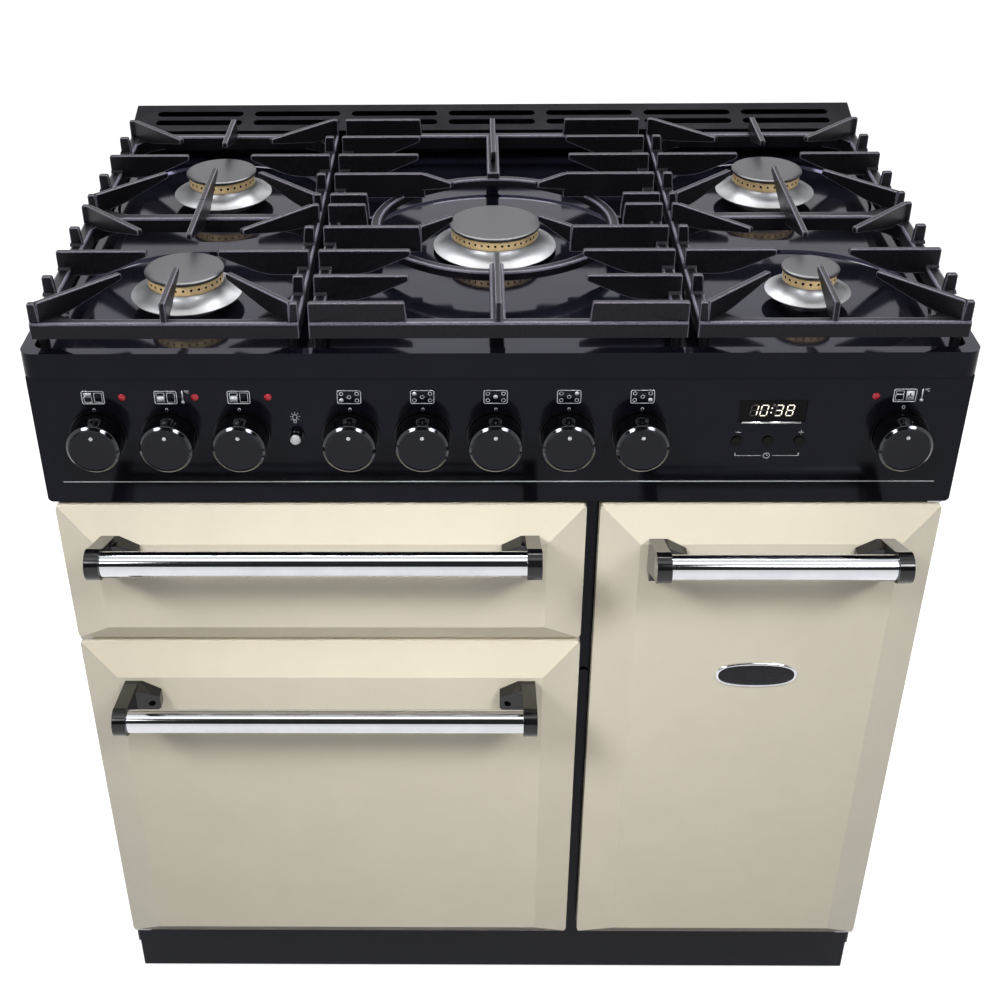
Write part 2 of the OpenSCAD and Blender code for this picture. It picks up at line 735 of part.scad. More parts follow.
// Gas rail, its brackets, the supply pipe to the back, and a pipe from each tap to its burner
module gas_pipework() {
    elbow = 6;
    top = under_z - cup_h;
    outlet = tap_outlet_y + 8;
    color("silver") at_front() {
        rod_x(gas_rail_r, BURNER_KNOBS[0] - 20, gas_inlet_x, gas_rail_y, knob_z);
        for (x = [BURNER_KNOBS[0] + knob_pitch / 2, BURNER_KNOBS[3] + knob_pitch / 2]) {
            block(x - 6, x + 6, gas_rail_y - 6, gas_rail_y + 6, panel_bottom - front_gap + 6, knob_z - gas_rail_r + 1);
            block(x - 6, x + 6, frame_back, gas_rail_y + 6, panel_bottom - front_gap + 4, panel_bottom - front_gap + 8);
        }
        // supply pipe with a threaded end behind the back panel
        rod_y(7, gas_rail_y, back_y - sheet - 1, gas_inlet_x, knob_z);
        block(gas_inlet_x - 11, gas_inlet_x + 11, gas_rail_y - 11, gas_rail_y + 11, knob_z - 11, knob_z + 11);
        rod_y(gas_pipe_r + 1.7, back_y - sheet - 2, back_y + 0.5, gas_inlet_x, knob_z);
        rod_y(gas_inlet_r, back_y + 0.3, body_d, gas_inlet_x, knob_z);
        for (i = [0:4]) {
            x = BURNER_KNOBS[i];
            b = BURNERS[i];
            rod_z(gas_pipe_r, knob_z + 9, pipe_z, x, outlet);
            block(x - elbow, x + elbow, outlet - elbow, outlet + elbow, pipe_z - elbow, pipe_z + elbow);
            rod_y(gas_pipe_r, outlet, b[1], x, pipe_z);
            block(x - elbow, x + elbow, b[1] - elbow, b[1] + elbow, pipe_z - elbow, pipe_z + elbow);
            rod_x(gas_pipe_r, min(x, b[0]), max(x, b[0]), b[1], pipe_z);
            block(b[0] - elbow, b[0] + elbow, b[1] - elbow, b[1] + elbow, pipe_z - elbow, pipe_z + elbow);
            rod_z(gas_pipe_r, pipe_z, top, b[0], b[1]);
        }
    }
}

// Aluminium burner bodies: cup below the hob, base on its floor and flared skirt above
module burner_bodies() {
    color("silver") at_front() for (b = BURNERS) translate([b[0], b[1], 0]) difference() {
        rotate_extrude() polygon([
            [0, under_z - cup_h], [cup_r, under_z - cup_h], [cup_r, well_z], [b[2] - 1, well_z],
            [b[2] - 1, b[4]], [b[3], b[4]], [b[3], b[4] + 1.2], [b[2] + 6, b[4] + flare_h * 0.55],
            [b[2] + 0.5, b[4] + flare_h], [0, b[4] + flare_h]]);
        rod_z(cup_r - 8, b[4] - 2, rim_z + 60, 0, 0);
        rod_z(spark_d / 2 + seat_gap, under_z - 30, rim_z + 60, spark_at(b)[0], spark_at(b)[1]);
    }
}

// Brass flame rings
module burner_rings() {
    color("goldenrod") at_front() for (b = BURNERS) translate([b[0], b[1], b[4] + flare_h]) difference() {
        cylinder(r = b[2], h = ring_h);
        translate([0, 0, -1]) cylinder(r = b[2] - 5, h = ring_h + 2);
    }
}

// Enamelled burner caps, slightly domed
module burner_caps() {
    color("black") at_front() for (b = BURNERS)
        translate([b[0], b[1], b[4] + flare_h + ring_h]) rotate_extrude() polygon([
            [0, 0], [b[2] + 2, 0], [b[2] + 2.5, 0.8], [b[2] + 2.5, cap_t * 0.6], [b[2] + 1.1, cap_t * 0.85],
            [b[2] * 0.6, cap_t * 0.97], [0, cap_t]]);
}

// Spark electrodes: a ceramic body through the hob and a pin beside the flame ring
module spark_electrodes() {
    color("white") at_front() for (b = BURNERS) translate([b[0] + spark_at(b)[0], b[1] + spark_at(b)[1], 0]) {
        cylinder_between(spark_d / 2, under_z - 16, b[4] + flare_h + 1);
        cylinder_between(1, b[4] + flare_h, b[4] + flare_h + ring_h - 3);
        cylinder_between(spark_d / 2 + 1.5, under_z - 14, under_z - seat_gap);
    }
}

module cylinder_between(r, z0, z1) {
    translate([0, 0, z0]) cylinder(r = r, h = z1 - z0);
}

// An open-fronted box of sheet, with a flange behind the face frame
module cavity_box(x0, x1, y1, z0, z1, flange) {
    difference() {
        union() {
            block(x0 - sheet, x1 + sheet, frame_back, y1 + sheet, z0 - sheet, z1 + sheet);
            block(x0 - flange, x1 + flange, frame_back, frame_back + sheet, z0 - flange, z1 + flange);
        }
        block(x0, x1, frame_back - 1, y1, z0, z1);
    }
}

// Ribs pressed into both side walls, in pairs that carry the shelves

module shelf_ribs(x0, x1, z0, count) {
    for (i = [0:count - 1], s = [0, 1]) {
        z = z0 + 40 + i * shelf_pitch;
        block(s ? x1 - rib : x0 - 1, s ? x1 + 1 : x0 + rib, frame_back + 12, cavity_back - 50, z, z + rib_t);
    }
}

module left_oven_liner() {
    color("darkslateblue") at_front() {
        difference() {
            cavity_box(left_x0, left_x1, cavity_back, oven_z0, left_z1, 9);
            rod_y(8, cavity_back - 1, cavity_back + sheet + 1, left_fan_x, left_fan_z);
        }
        shelf_ribs(left_x0, left_x1, oven_z0, left_shelf_levels);
    }
}

module right_oven_liner() {
    color("darkslateblue") at_front() {
        difference() {
            cavity_box(right_x0, right_x1, cavity_back, oven_z0, right_z1, 9);
            rod_y(8, cavity_back - 1, cavity_back + sheet + 1, right_fan_x, right_fan_z);
        }
        shelf_ribs(right_x0, right_x1, oven_z0, right_shelf_levels);
    }
}

// Grill compartment with a channel for the carriage on each side wall
module grill_compartment() {
    color("darkslateblue") at_front() {
        cavity_box(left_x0, left_x1, grill_back, grill_z0, grill_z1, 7);
        for (s = [-1, 1]) {
            x0 = s < 0 ? left_x0 - 1 : left_x1 - runner_w;
            for (z = [runner_z + slide_gap - seat_gap - 2, runner_z + runner_h + seat_gap])
                block(x0, x0 + runner_w + 1, frame_back, grill_back - 20, z, z + 2);
        }
    }
}

// Perforated covers in front of the oven fans, on four stand-offs
module fan_baffles() {
    color("dimgray") at_front() for (c = [[left_fan_x, left_fan_z], [right_fan_x, right_fan_z]])
        translate([c[0], 0, c[1]]) {
            difference() {
                rod_y(baffle_r, baffle_y, baffle_y + sheet, 0, 0);
                for (a = [0:30:359]) rotate([0, a, 0]) rod_y(6, baffle_y - 1, baffle_y + sheet + 1, 34, 0);
                for (a = [15:30:359]) rotate([0, a, 0]) rod_y(4, baffle_y - 1, baffle_y + sheet + 1, 52, 0);
                rod_y(5, baffle_y - 1, baffle_y + sheet + 1, 0, 0);
            }
            for (a = [45:90:359]) rotate([0, a, 0]) rod_y(3, baffle_y + sheet / 2, cavity_back, baffle_r - 6, 0);
        }
}

// Fan motors behind the ovens, each with a bearing nose in the oven's back wall
module fan_motors() {
    wall = cavity_back + sheet;
    color("silver") at_front() for (c = [[left_fan_x, left_fan_z], [right_fan_x, right_fan_z]])
        translate([c[0], 0, c[1]]) difference() {
            union() {
                rod_y(7.5, wall - sheet, wall, 0, 0);
                block(-36, 36, wall, wall + 3, -36, 36);
                rod_y(28, wall + 3, wall + 46, 0, 0);
                block(-24, 24, wall + 10, wall + 34, -34, 34);
            }
            rod_y(spindle_r + run_gap, wall - sheet - 1, wall + 30, 0, 0);
        }
}

// An oven fan: hub, shaft and radial blades
module oven_fan(x, z) {
    wall = cavity_back + sheet;
    back = cavity_back - 6;
    color("silver") at_front() translate([x, 0, z]) {
        rod_y(spindle_r, fan_y - 8, wall + 24, 0, 0);
        rod_y(8, fan_y - 6, back, 0, 0);
        difference() {
            rod_y(fan_r, back - 1.5, back, 0, 0);
            for (a = [30:60:359]) rotate([0, a, 0]) rod_y(7, back - 3, back + 1, fan_r * 0.5, 0);
        }
        for (a = [0:30:359]) rotate([0, a, 0]) block(fan_r * 0.35, fan_r - 1, fan_y - 4, back - 1, -0.8, 0.8);
    }
}

module left_oven_fan() { oven_fan(left_fan_x, left_fan_z); }
module right_oven_fan() { oven_fan(right_fan_x, right_fan_z); }

// A chrome wire shelf that rests on a pair of ribs
module shelf(x0, x1, z) {
    r = shelf_wire_d / 2;
    y0 = frame_back + 16;
    y1 = cavity_back - 54;
    w0 = x0 + r + 1;
    w1 = x1 - r - 1;
    for (x = [w0, w1]) rod_y(r, y0, y1, x, z + r);
    for (y = [y0 + r, y1 - r]) rod_x(r * 0.8, w0, w1, y, z + r);
    for (i = [1:shelf_wires]) rod_y(1.5, y0 + r, y1 - r, w0 + (w1 - w0) * i / (shelf_wires + 1), z + r);
}

module oven_shelves() {
    color("silver") at_front() {
        for (i = [1, 3]) shelf(left_x0, left_x1, oven_z0 + 40 + rib_t + i * shelf_pitch);
        for (i = [1, 3, 5]) shelf(right_x0, right_x1, oven_z0 + 40 + rib_t + i * shelf_pitch);
    }
}

// A flat loop of heating element: straight runs joined by half turns
module element_loop(x0, x1, y0, y1, z, runs, tail = 30) {
    r = element_d / 2;
    pitch = (x1 - x0) / (runs - 1);
    bend = pitch / 2;
    for (i = [0:runs - 1]) {
        first = i == 0;
        last = i == runs - 1;
        rod_y(r, y0 + bend, first || last ? y1 + tail : y1 - bend, x0 + i * pitch, z);
    }
    for (i = [0:runs - 2]) {
        front = i % 2 == 0;
        translate([x0 + (i + 0.5) * pitch, front ? y0 + bend : y1 - bend, z])
            rotate([0, 0, front ? 180 : 0]) rotate_extrude(angle = 180) translate([bend, 0]) circle(r, $fn = 24);
    }
}

// Grill element, the left oven's top and base elements, and a ring element round each fan
module heating_elements() {
    r = element_d / 2;
    color("dimgray") at_front() {
        element_loop(left_x0 + 70, left_x1 - 70, frame_back + 60, grill_back - 30, grill_z1 - 18, 6);
        element_loop(left_x0 + 60, left_x1 - 60, frame_back + 50, cavity_back - 30, left_z1 - 18, 4);
        element_loop(left_x0 + 60, left_x1 - 60, frame_back + 50, cavity_back - 30, oven_z0 - sheet - seat_gap - r, 4);
        for (c = [[left_fan_x, left_fan_z], [right_fan_x, right_fan_z]])
            translate([c[0], fan_y + 4, c[1]]) {
                rotate([90, 0, 0]) rotate_extrude() translate([ring_element_r, 0]) circle(r, $fn = 24);
                for (s = [-1, 1]) rod_y(r, 0, 22, s * 12, -sqrt(pow(ring_element_r, 2) - 144));
            }
    }
}

// Heat-proof seals on the face frame, one round each oven's opening
module door_seals() {
    w = 8;
    gap = 3;
    color("dimgray") at_front() for (c = [[left_x0, left_x1, left_z1], [right_x0, right_x1, right_z1]]) difference() {
        plate_xz(front_depth + sheet + seat_gap, frame_y)
            round_rect(c[0] - gap - w, c[1] + gap + w, oven_z0 - gap - w, c[2] + gap + w, 10);
        plate_xz(0, frame_y + 1) round_rect(c[0] - gap, c[1] + gap, oven_z0 - gap, c[2] + gap, 3);
    }
}

// One hinge bracket: a leaf in the gap, a tab on the face frame and the pin. s is 1 where the pin points up.
module hinge_bracket(x, z, s) {
    z0 = z - hinge_t / 2;
    block(x - 7, x + 7, pin_y - 6, frame_y, z0, z0 + hinge_t);
    block(x - 7, x + 7, frame_y - 2, frame_y, s > 0 ? z - 22 : z0, s > 0 ? z0 + hinge_t : z + 22);
    rod_z(pin_r, s > 0 ? z0 : z - pin_l, s > 0 ? z + pin_l : z0 + hinge_t, x, pin_y);
}

// Four hinge brackets with their pins
module door_hinges() {
    color("silver") at_front() {
        hinge_bracket(left_pin_x, left_door_top + front_gap / 2, -1);
        hinge_bracket(left_pin_x, door_bottom - front_gap / 2, 1);
        hinge_bracket(right_pin_x, fronts_top + front_gap / 2, -1);
        hinge_bracket(right_pin_x, door_bottom - front_gap / 2, 1);
    }
}

// One finger along +X from the origin: deep at its root, tapering up to its tip
module finger(length, root = 0.5, deep = 7) {
    top = rim_z + finger_top;
    translate([0, finger_t / 2, 0]) rotate([90, 0, 0]) linear_extrude(height = finger_t) polygon([
        [0, rim_z + bar_top - deep], [length * root, rim_z + bar_top - deep], [length, top - tip_h],
        [length, top - 1.5], [length - 1.5, top], [0.8, top], [0, top - 1]]);
}

// A plate along +X from the origin that rises from a bar
module plate(length, z0 = rim_z + bar_top - 2) {
    top = rim_z + finger_top;
    translate([0, finger_t / 2, 0]) rotate([90, 0, 0]) linear_extrude(height = finger_t) polygon([
        [0, z0], [length, z0], [length, rim_z + bar_top], [length - 1.5, top - 1], [length - 2.5, top],
        [0.8, top], [0, top - 1]]);
}

// The cross-section of a bar, with chamfered upper edges, between two places across it
module bar_section(a, b) {
    z0 = rim_z + bar_top - bar_h;
    z1 = rim_z + bar_top;
    polygon([[a, z0], [b, z0], [b, z1 - bar_edge], [b - bar_edge, z1], [a + bar_edge, z1], [a, z1 - bar_edge]]);
}

module bar_x(x0, x1, y0, y1) {
    plate_yz(x0, x1) bar_section(y0, y1);
}

module bar_y(x0, x1, y0, y1) {
    plate_xz(y0, y1) bar_section(x0, x1);
}

// A frame of four bars with webs in its corners
module bar_frame(x0, x1, y0, y1, end0, end1) {
    bar_x(x0, x1, y0, y0 + end0);
    bar_x(x0, x1, y1 - end1, y1);
    bar_y(x0, x0 + bar_w, y0, y1);
    bar_y(x1 - bar_w, x1, y0, y1);
    for (i = [0, 1], j = [0, 1]) {
        x = i ? x1 - bar_w : x0 + bar_w;
        y = j ? y1 - end1 : y0 + end0;
        a = i ? -1 : 1;
        b = j ? -1 : 1;
        translate([0, 0, rim_z + bar_top - bar_h]) linear_extrude(height = bar_h) polygon([
            [x - a * 3, y - b * 3], [x + a * web_l, y - b * 3], [x + a * web_l, y],
            [x, y + b * web_l], [x - a * 3, y + b * web_l]]);
    }
}

// A foot under a bar
module support_foot(x, y) {
    rod_z(support_foot_r, floor_z, rim_z + bar_top - bar_h + 1, x, y);
}

// A pan support over two side burners. It is drawn for the right side.
module side_support() {
    x0 = burner_x - side_support_w / 2;
    x1 = support_x1;
    corner = 8.5;
    stub = 11;
    bar_frame(x0, x1, support_y0, wok_y + bar_w / 2, end_bar_w, bar_w);
    bar_frame(x0, x1, wok_y - bar_w / 2, support_y1, bar_w, end_bar_w);
    for (zone = [0, 1], s = [-1, 1]) {
        cy = front_burner_y + zone * burner_pitch;
        edge = s < 0 ? x0 : x1;
        for (e = [-1, 1]) {
            // the upright in the corner and the diagonal finger that starts at it
            y = cy + e * 2 * row_pitch;
            translate([edge, y, 0]) mirror([s < 0 ? 0 : 1, 0, 0]) {
                plate(corner + 1);
                translate([corner - 1.5, 0, 0]) rotate([0, 0, -45 * e]) finger(diagonal_l * 1.414 + 2, 0.3, 2);
            }
            // the short plate between two fingers
            translate([edge, cy + e * row_pitch, 0]) mirror([s < 0 ? 0 : 1, 0, 0]) plate(stub + 1);
        }
        translate([edge, cy, 0]) rotate([0, 0, s < 0 ? 0 : 180]) finger(finger_l);
    }
    // front and back fingers, and one that spans both burners over the cross bar
    translate([burner_x, support_y0 + 2, 0]) rotate([0, 0, 90]) finger(end_finger_l, 0.3, 2);
    translate([burner_x, support_y1 - 2, 0]) rotate([0, 0, -90]) finger(end_finger_l, 0.3, 2);
    for (s = [-1, 1]) translate([burner_x, wok_y, 0]) rotate([0, 0, s * 90])
        finger(burner_pitch / 2 - middle_reach, 0.15, 7);
    for (x = [x0 + 9, x1 - 9], y = [support_y0 + 12, support_y1 - 12]) support_foot(x, y);
}

module pan_support_right() {
    color("dimgray") at_front() side_support();
}

module pan_support_left() {
    color("dimgray") at_front() mirror([1, 0, 0]) side_support();
}

// The middle pan support: plates from both sides, and a ring round the large burner
module pan_support_middle() {
    z0 = rim_z + bar_top - bar_h;
    x1 = middle_support_x;
    deep = bar_top - support_ring_top + 2.5;
    color("dimgray") at_front() {
        bar_frame(-x1, x1, support_y0, support_y1, end_bar_w, end_bar_w);
        difference() {
            union() {
                rod_z(support_ring_r, z0, rim_z + support_ring_top, 0, wok_y);
                bar_y(-rib_w / 2, rib_w / 2, support_y0, support_y1);
                for (s = [-1, 1], e = [-1, 1]) translate([s * x1, wok_y + e * half_gap, 0])
                    mirror([s < 0 ? 0 : 1, 0, 0])
                        block(0, x1 - support_ring_r + support_ring_w, -finger_t / 2, finger_t / 2,
                              z0, rim_z + support_ring_top - 1);
            }
            rod_z(support_ring_r - support_ring_w, z0 - 1, rim_z + bar_top + 1, 0, wok_y);
        }
        for (s = [-1, 1], e = [-1, 1]) {
            edge = wok_y + e * burner_pitch / 2;
            side = s < 0 ? 0 : 1;
            translate([s * x1, edge + e * 2 * row_pitch, 0]) mirror([side, 0, 0]) plate(middle_finger_l);
            for (k = [0, 1]) translate([s * x1, edge + e * k * row_pitch, 0])
                mirror([side, 0, 0]) finger(middle_finger_l);
            // the cranked finger, whose end turns towards the burner
            translate([s * x1, edge - e * row_pitch, 0]) mirror([side, 0, 0]) {
                plate(bend_l, rim_z + bar_top - deep);
                translate([bend_l - 2.5, 0, 0]) rotate([0, 0, -e * 41]) finger(crank_l, 0.05, 0);
            }
            // the short block beside the middle
            translate([s * x1, wok_y + e * half_gap, 0]) mirror([side, 0, 0]) plate(short_block_l, z0 + 1);
        }
        for (s = [-1, 1], y = [support_y0 + 12, support_y1 - 12]) support_foot(s * (x1 - 9), y);
        for (e = [-1, 1]) translate([0, e < 0 ? support_y0 + 2 : support_y1 - 2, 0]) rotate([0, 0, -e * 90])
            finger(rib_finger_l, 0.8, 2);
    }
}

// Cream front of the glide-out grill
module grill_front() {
    color("wheat") at_front() front_shell(left_edge, left_inner, grill_bottom, fronts_top);
}

module grill_handle() {
    at_front() handle(left_edge, left_inner, grill_handle_z, handle_rise_high);
}

// Carriage that carries the pan: a filled back plate behind the front, two slides and a rear bar
module grill_carriage() {
    z0 = runner_z + slide_gap;
    z1 = runner_z + runner_h;
    x0 = left_x0 + slide_gap + 0.5;
    x1 = left_x1 - slide_gap - 0.5;
    back = grill_back - 30;
    color("silver") at_front() {
        front_filling(left_edge, left_inner, grill_bottom, fronts_top);
        for (s = [-1, 1]) {
            a = s < 0 ? x0 : x1 - runner_w - 2;
            block(a, a + runner_w + 2, front_depth + sheet, back, z0, z1);
            b = s < 0 ? x0 + runner_w : x1 - runner_w - 14;
            block(b, b + 14, front_depth + sheet, back, z0 - 6, z0 - 4);
            c = s < 0 ? x0 + runner_w : x1 - runner_w - 2;
            block(c, c + 2, front_depth + sheet, back, z0 - 6, z1);
        }
        block(x0 + runner_w, x1 - runner_w, back - 3, back, z0 - 6, z1);
    }
}

// Grill pan on the carriage's ledges, with its wire rack
module grill_pan() {
    z0 = runner_z + slide_gap - 4 + seat_gap;
    x0 = left_x0 + runner_w + 5;
    x1 = left_x1 - runner_w - 5;
    y0 = front_depth + sheet + 12;
    y1 = grill_back - 36;
    depth = pan_h;
    wall = 1.5;
    color("gray") at_front() {
        difference() {
            union() {
                block(x0 + 14, x1 - 14, y0, y1, z0 - depth, z0 + wall);
                block(x0, x1, y0, y1, z0, z0 + wall);
            }
            block(x0 + 14 + wall, x1 - 14 - wall, y0 + wall, y1 - wall, z0 - depth + wall, z0 + wall + 1);
        }
    }
    color("silver") at_front() {
        rack = z0 - 6;
        for (y = [y0 + 8, y1 - 8]) rod_x(2.5, x0 + 14 + wall + 0.5, x1 - 14 - wall - 0.5, y, rack);
        for (i = [0:12]) rod_y(1.5, y0 + 8, y1 - 8, x0 + 30 + (x1 - x0 - 60) * i / 12, rack);
        for (x = [x0 + 40, x1 - 40], y = [y0 + 8, y1 - 8]) rod_z(2, z0 - depth + wall, rack, x, y);
    }
}

// Clearance in a door's shell and filling for the two hinge pins
module pin_bores(x, z0, z1, r) {
    rod_z(r, z0 - 1, z0 + pin_l, x, pin_y);
    rod_z(r, z1 - pin_l, z1 + 1, x, pin_y);
}

module left_door_front() {
    color("wheat") at_front() difference() {
        front_shell(left_edge, left_inner, door_bottom, left_door_top);
        pin_bores(left_pin_x, door_bottom, left_door_top, pin_r + 1);
    }
}

module left_door_liner() {
    color("darkslateblue") at_front() difference() {
        front_filling(left_edge, left_inner, door_bottom, left_door_top);
        pin_bores(left_pin_x, door_bottom, left_door_top, pin_r + run_gap);
    }
}

module left_door_handle() {
    at_front() handle(left_edge, left_inner, left_handle_z, handle_rise_low);
}

module right_door_front() {
    color("wheat") at_front() difference() {
        front_shell(right_inner, right_edge, door_bottom, fronts_top);
        pin_bores(right_pin_x, door_bottom, fronts_top, pin_r + 1);
    }
}

module right_door_liner() {
    color("darkslateblue") at_front() difference() {
        front_filling(right_inner, right_edge, door_bottom, fronts_top);
        pin_bores(right_pin_x, door_bottom, fronts_top, pin_r + run_gap);
    }
}

module right_door_handle() {
    at_front() handle(right_inner, right_edge, right_handle_z, handle_rise_high);
}

// A knob's cap: a drafted cylinder with a rounded rim, hollow at the back
module knob_cap(x) {
    r1 = knob_d / 2;
    translate([x, 0, knob_z]) rotate([90, 0, 0]) rotate_extrude() polygon([
        [0, knob_gap], [knob_base_r, knob_gap], [r1, knob_l - 2], [r1 - 2, knob_l], [0, knob_l]]);
}

// An oven knob with its own spindle, which turns in the switch
module oven_knob(x) {
    color("black") at_front() {
        knob_cap(x);
        rod_y(spindle_r, -knob_gap - 1, sheet + 24, x, knob_z);
    }
}

module grill_knob() { oven_knob(grill_knob_x); }
module left_heat_knob() { oven_knob(left_heat_x); }
module left_mode_knob() { oven_knob(left_mode_x); }
module right_heat_knob() { oven_knob(right_heat_x); }

// A burner knob, bored for its spindle
module burner_knob(i) {
    color("black") at_front() difference() {
        knob_cap(BURNER_KNOBS[i]);
        rod_y(spindle_r + run_gap, -knob_l + 6, 0, BURNER_KNOBS[i], knob_z);
    }
}

module front_left_knob() { burner_knob(0); }
module back_left_knob() { burner_knob(1); }
module middle_knob() { burner_knob(2); }
module back_right_knob() { burner_knob(3); }
module front_right_knob() { burner_knob(4); }

// A tap's spindle, sprung outwards, with room to be pushed in
module tap_spindle(i) {
    color("silver") at_front() rod_y(spindle_r, -knob_l + 6.3, 38 - push_travel - 1, BURNER_KNOBS[i], knob_z);
}

module front_left_spindle() { tap_spindle(0); }
module back_left_spindle() { tap_spindle(1); }
module middle_spindle() { tap_spindle(2); }
module back_right_spindle() { tap_spindle(3); }
module front_right_spindle() { tap_spindle(4); }

// Chrome push button of the oven light
module light_button() {
    color("silver") at_front() rotate([90, 0, 0]) translate([light_x, knob_z, 0]) rotate_extrude() polygon([
        [0, -14], [light_d / 2, -14], [light_d / 2, light_l - 1.5], [light_d / 2 - 1.5, light_l],
        [0, light_l + 0.4]]);
}

// A clock button, just proud of the fascia
module clock_button(i) {
    color("black") at_front()
        rod_y(clock_button_d / 2, -1.6, sheet + 8, CLOCK_BUTTONS[i], rim_z - clock_button_drop);
}

module minus_button() { clock_button(0); }
module mode_button() { clock_button(1); }
module plus_button() { clock_button(2); }

casing_panels();
base_tray();
face_frame();
plinth();
feet();
hob_top();
rear_vent();
control_panel();
knob_bezels();
indicator_lamps();
clock_module();
switch_bodies();
gas_taps();
gas_pipework();
burner_bodies();
burner_rings();
burner_caps();
spark_electrodes();
grill_compartment();
left_oven_liner();
right_oven_liner();
fan_baffles();
fan_motors();
oven_shelves();
heating_elements();
door_seals();
door_hinges();
pan_support_left();
pan_support_middle();
pan_support_right();
grill_front();
grill_handle();
grill_carriage();
grill_pan();
left_door_front();
left_door_liner();
left_door_handle();
right_door_front();
right_door_liner();
right_door_handle();
left_oven_fan();
right_oven_fan();
grill_knob();
left_heat_knob();
left_mode_knob();
right_heat_knob();
front_left_knob();
back_left_knob();
middle_knob();
back_right_knob();
front_right_knob();
front_left_spindle();
back_left_spindle();
middle_spindle();
back_right_spindle();
front_right_spindle();
light_button();
minus_button();
mode_button();
plus_button();
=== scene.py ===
# %% [markdown]
# A 90 cm range cooker, dressed for its picture.
# The solids of the cooker are already packed as a fixed frame: every plate, bar and knob has its place there.
# Blender adds what solids leave out: soft edges, turned curves, printed marks and real finishes.

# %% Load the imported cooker
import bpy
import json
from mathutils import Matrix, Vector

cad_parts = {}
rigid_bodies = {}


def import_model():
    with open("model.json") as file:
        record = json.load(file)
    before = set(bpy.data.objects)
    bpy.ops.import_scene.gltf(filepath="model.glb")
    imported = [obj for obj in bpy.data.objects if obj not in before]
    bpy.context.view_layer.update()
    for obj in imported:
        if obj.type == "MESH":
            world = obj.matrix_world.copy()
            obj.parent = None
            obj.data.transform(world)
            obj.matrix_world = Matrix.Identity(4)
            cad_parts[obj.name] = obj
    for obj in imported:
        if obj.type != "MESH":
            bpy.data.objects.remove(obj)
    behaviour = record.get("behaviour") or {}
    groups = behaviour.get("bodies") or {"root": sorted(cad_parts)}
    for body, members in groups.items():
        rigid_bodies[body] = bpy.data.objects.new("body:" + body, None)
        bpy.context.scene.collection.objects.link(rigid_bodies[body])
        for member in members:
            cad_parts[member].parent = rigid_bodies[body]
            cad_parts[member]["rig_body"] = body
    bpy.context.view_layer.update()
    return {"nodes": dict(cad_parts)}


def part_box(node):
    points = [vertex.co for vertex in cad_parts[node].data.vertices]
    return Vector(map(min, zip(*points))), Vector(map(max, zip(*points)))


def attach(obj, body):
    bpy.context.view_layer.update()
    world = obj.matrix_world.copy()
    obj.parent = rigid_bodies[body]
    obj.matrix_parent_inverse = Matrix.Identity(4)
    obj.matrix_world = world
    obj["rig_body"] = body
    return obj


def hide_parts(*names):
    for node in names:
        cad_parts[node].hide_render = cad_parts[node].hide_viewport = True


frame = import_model()

import json
import math
import bmesh
import bpy
import numpy as np
from mathutils import Matrix, Vector

# %% [markdown]
# All sizes here are in millimetres, as a cooker maker's drawing has them.
# x runs from the middle to the right, y runs back from the face of the control panel and z runs up from
# the floor. One function moves such points to the frame in metres, so no piece is placed by eye.

# %% Millimetres to the frame
FACE_Y = -251.25
RIM_Z = 905.0
ORIGIN = np.array([0.0, FACE_Y, 0.0])


def metres(points):
    """Points in mm from the panel's face, shifted by the face's place and divided by a thousand."""
    return (np.asarray(points, float) + ORIGIN) / 1000


print("panel face at y", FACE_Y, "mm, rim of the hob at z", RIM_Z, "mm")

# %% [markdown]
# The camera stands in front and looks down at the hob by 34 degrees, as the photograph was taken.
# A long lens would flatten the bars of the pan supports; this one shows the fronts narrowing to the floor.
# The sensor is shifted a little instead of the camera being turned, so the picture is framed as it was.

# %% Camera
SENSOR_MM, PICTURE_PX = 36, 1000
FOCAL_PX = 1499.2
CENTRE_X = 451.13
CENTRE_Y = 538.12
PITCH, YAW, ROLL = 0.598111, -0.017111, -0.010142
EYE = [-24.36, -1260.88, 647.25 + RIM_Z]
camera_data = bpy.data.cameras.new("camera")
camera = bpy.data.objects.new("camera", camera_data)
bpy.context.scene.collection.objects.link(camera)
bpy.context.scene.camera = camera
camera_data.sensor_width = SENSOR_MM
camera_data.sensor_fit = "HORIZONTAL"
camera_data.lens = FOCAL_PX * SENSOR_MM / PICTURE_PX
camera_data.shift_x = (PICTURE_PX / 2 - CENTRE_X) / PICTURE_PX
camera_data.shift_y = (CENTRE_Y - PICTURE_PX / 2) / PICTURE_PX
camera_data.clip_end = 50
ahead = Vector((math.sin(YAW) * math.cos(PITCH), math.cos(YAW) * math.cos(PITCH), -math.sin(PITCH)))
level = Vector((math.cos(YAW), -math.sin(YAW), 0))
above = level.cross(ahead)
across = math.cos(ROLL) * level + math.sin(ROLL) * above
upward = -math.sin(ROLL) * level + math.cos(ROLL) * above
turn = Matrix((across, upward, -ahead)).transposed()
camera.matrix_world = Matrix.Translation(metres(EYE)) @ turn.to_4x4()
print("lens", round(camera_data.lens, 1), "mm, camera", [round(v, 3) for v in camera.location])

# %% [markdown]
# A finish is a small network of nodes. Colours are written as sRGB hex, as a paint chart gives them,
# and one function makes them linear, which is what light is worked out in.
# One small function adds a node with its settings and links, so each finish below reads as a recipe.

# %% Colours and nodes


def linear(code):
    """Each sRGB channel c becomes c / 12.92 below 0.04045, else ((c + 0.055) / 1.055) to the power 2.4."""
    c = np.array([int(code[i:i + 2], 16) for i in (1, 3, 5)]) / 255
    return tuple(np.where(c <= 0.04045, c / 12.92, ((c + 0.055) / 1.055) ** 2.4)) + (1.0,)


